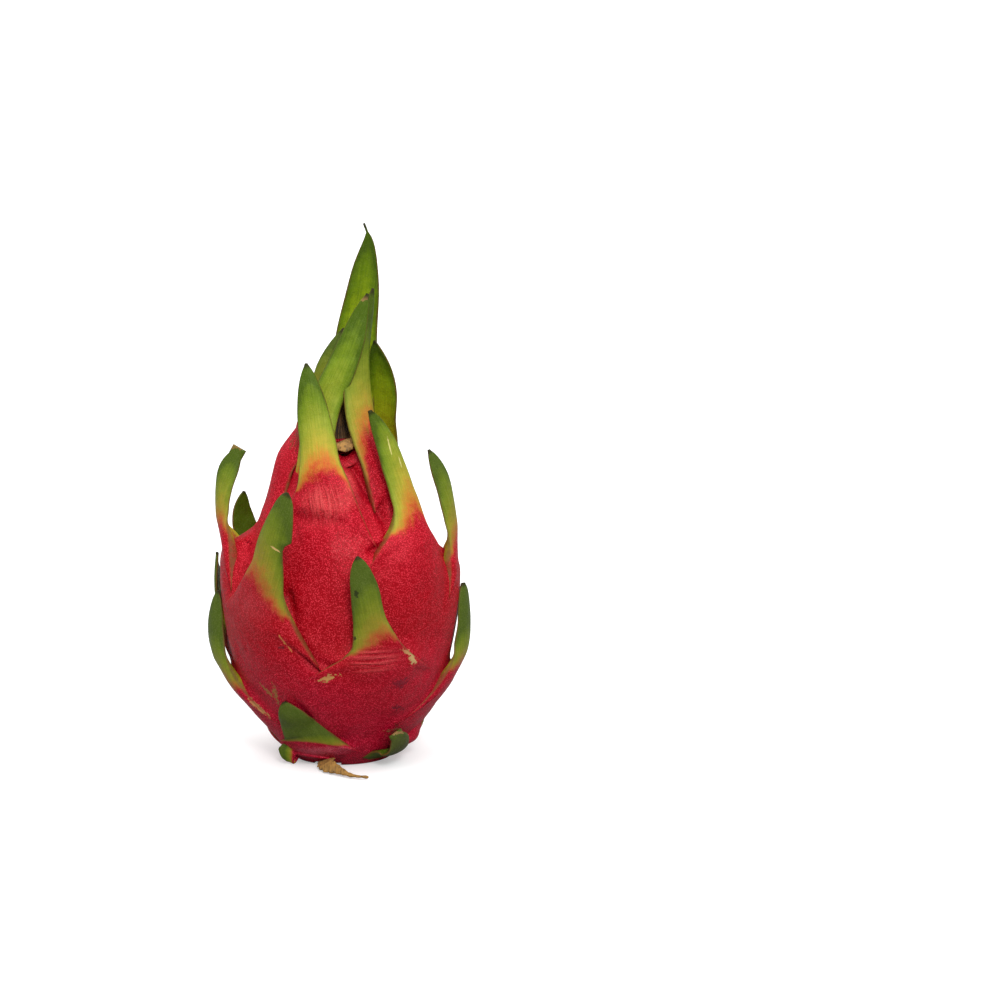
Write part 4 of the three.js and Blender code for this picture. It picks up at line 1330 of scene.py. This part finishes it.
relief = total(tree, times(tree, pale_dots, 0.045), times(tree, noise(tree, here, 1.6, 3.0), 0.12),
               times(tree, veins, 0.08), times(tree, noise(tree, here, 0.1, 2.0), 1.6))
for azimuth, radius, z, size, run, cut, width, height in WRINKLES:
    away = add(tree, "Mapping", {"Vector": here, "Location": on_skin(azimuth, radius, z),
                                 "Rotation": (0, 0, math.radians(azimuth)), "Scale": size},
               vector_type="TEXTURE")
    reach = ranged(tree, size_of(tree, away.outputs[0]), 1.1, 0.2)
    folds = placed(tree, streaks, {"Along": run, "Across": cut, "Width": width,
                                   "Length": WRINKLE_LENGTH})
    folds = times(tree, ranged(tree, folds, 0.35, 0.65), reach)
    relief = total(tree, relief, times(tree, folds, height))
    # The wrinkle ridges get a painted highlight: a paler pink.
    ridge_highlight = times(tree, folds, ranged(tree, green, 0.3, 0.0, 0.0, 0.4))
    colour = mixed(tree, ridge_highlight, colour, tint(236, 96, 96))
raise_relief(tree, shader, relief, 1.0)
fill(tree, shader, {"Base Color": colour})
fruit.data.materials.append(peel)
print("peel finish on", fruit.name, "from", len(tree.nodes), "nodes")

# %% [markdown]
# ## Dry tissue
# The withered flower and the stalk are dead plant fibre: matt, straw to dark brown, streaked
# along their length and specked with mould. Both use the shared groups with their own values.
# The fibres of the upright flower are spread round its axis, and those of the stalk lie level.

# %% Dry finishes
AROUND_AXIS = 6.0
FIBRE_LENGTH = 9.0
MOULD = dict(Spacing=1.9, Reach=0.3, Softness=0.12)


def dry_finish(name, dark, straw, pale, fibre_axis, width):
    """Streaks along one axis blend dark to straw, papery parts are pale, and specks darken it."""
    material, tree, shader = finish(name)
    here = millimetres(tree)
    xyz = add(tree, "SeparateXYZ", {0: here}).outputs
    around = times(tree, worked(tree, "ARCTAN2", xyz["X"], xyz["Y"]), AROUND_AXIS)
    cut = around if fibre_axis == "Z" else xyz["X"]
    fibres = placed(tree, streaks, {"Along": xyz[fibre_axis], "Across": cut, "Width": width,
                                    "Length": FIBRE_LENGTH})
    blotch = noise(tree, here, 0.4, 4.0)
    colour = mixed(tree, ranged(tree, fibres, 0.35, 0.65), tint(*dark), tint(*straw))
    sheet = times(tree, attribute(tree, "papery"), ranged(tree, blotch, 0.3, 0.62, 0.35, 1.0))
    colour = mixed(tree, sheet, colour, tint(*pale))
    specks = placed(tree, mottle, {"Vector": here, **MOULD})
    colour = mixed(tree, times(tree, specks, 0.5), colour, tint(36, 26, 18))
    fill(tree, shader, {"Base Color": colour, "Roughness": ranged(tree, blotch, 0.3, 0.7, 0.7, 0.9)})
    relief = total(tree, times(tree, fibres, 0.5), times(tree, blotch, 0.3))
    raise_relief(tree, shader, relief, 0.9)
    return material


flower.data.materials.append(
    dry_finish("withered_flower", (44, 28, 16), (112, 80, 42), (186, 138, 78), "Z", 0.5))
stalk.data.materials.append(
    dry_finish("dry_stalk", (58, 42, 20), (140, 104, 50), (160, 118, 58), "Y", 0.6))
print("dry finishes on", flower.name, "and", stalk.name)

# %% [markdown]
# ## The floor
# The fruit stands on a wide sheet of white paper. Seen by the camera the paper is near white
# and glows a little, as it does in a bright studio, where it is lit far more than the fruit. To
# the light that bounces it is greyer, so it sends little light up into the fruit.

# %% Paper floor
FLOOR_HALF = 20
FLOOR_DROP = 0.0001
PAPER_GLOW = 0.36

square = np.array([[-1, -1], [1, -1], [1, 1], [-1, 1]]) * FLOOR_HALF
corners = np.column_stack([square, np.full(len(square), -FLOOR_DROP)])
floor = mesh_object("floor", corners / MM, np.array([[0, 1, 2, 3]]), {})
paper, tree, shader = finish("white_paper")
tooth = noise(tree, millimetres(tree), 0.5, 3.0)
white = mixed(tree, tooth, tint(214, 214, 214), tint(218, 218, 218))
seen = add(tree, "LightPath", {}).outputs["Is Camera Ray"]
fill(tree, shader, {
    "Base Color": mixed(tree, seen, tint(160, 160, 160), white),
    "Emission Color": mixed(tree, seen, tint(0, 0, 0), tint(255, 255, 255)),
    "Emission Strength": PAPER_GLOW, "Specular IOR Level": 0.0,
    "Roughness": ranged(tree, tooth, 0.3, 0.7, 0.85, 0.95)})
floor.data.materials.append(paper)
print("paper:", 2 * FLOOR_HALF, "metres square")

# %% [markdown]
# ## The light
# Most of the light is a soft dome, strongest overhead and weak near the horizon, so the
# shoulders are bright and the foot is dim. A dome gives that from all sides at once, where lamps
# would have to be placed one by one. A key light in front, high and a little to the
# right, throws one faint soft shadow back and to the left. Its height above the floor, its
# turn to the side and the width of its disc are in degrees.

# %% Light
DOME = dict(horizon=0.04, overhead=2.2)
KEY = dict(strength=1.5, height=33, side=12, spread=14)

world = bpy.data.worlds.new("soft_dome")
bpy.context.scene.world = world
world.use_nodes = True
tree = world.node_tree
height = add(tree, "SeparateXYZ", {0: add(tree, "TexCoord", {}).outputs["Generated"]}).outputs["Z"]
dome = ranged(tree, height, 0.0, 1.0, DOME["horizon"], DOME["overhead"], "LINEAR")
seen = add(tree, "LightPath", {}).outputs["Is Camera Ray"]
strength = add(tree, "Mix", {0: seen, 2: dome, 3: 1.0}).outputs[0]
fill(tree, tree.nodes["Background"], {"Strength": strength, "Color": (1, 1, 1, 1)})

key = bpy.data.objects.new("key_light", bpy.data.lights.new("key_light", "SUN"))
bpy.context.scene.collection.objects.link(key)
key.data.energy, key.data.angle = KEY["strength"], math.radians(KEY["spread"])
key.rotation_euler = (math.radians(90 - KEY["height"]), 0, math.radians(KEY["side"]))
bpy.context.scene.view_settings.view_transform = "Standard"
print("dome and key light on, the key", KEY["height"], "degrees up")

# %% [markdown]
# ## Joining the frame
# Each fine piece rides on the fruit's one body and takes the place of the plain solid of the same
# shape.

# %% Frame
for piece, node, slot in ((fruit, "fruit", "peel"), (flower, "flower_remnant", "withered_flower"),
                          (stalk, "stalk_remnant", "dry_stalk")):
    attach(piece, "root")
    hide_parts(node)
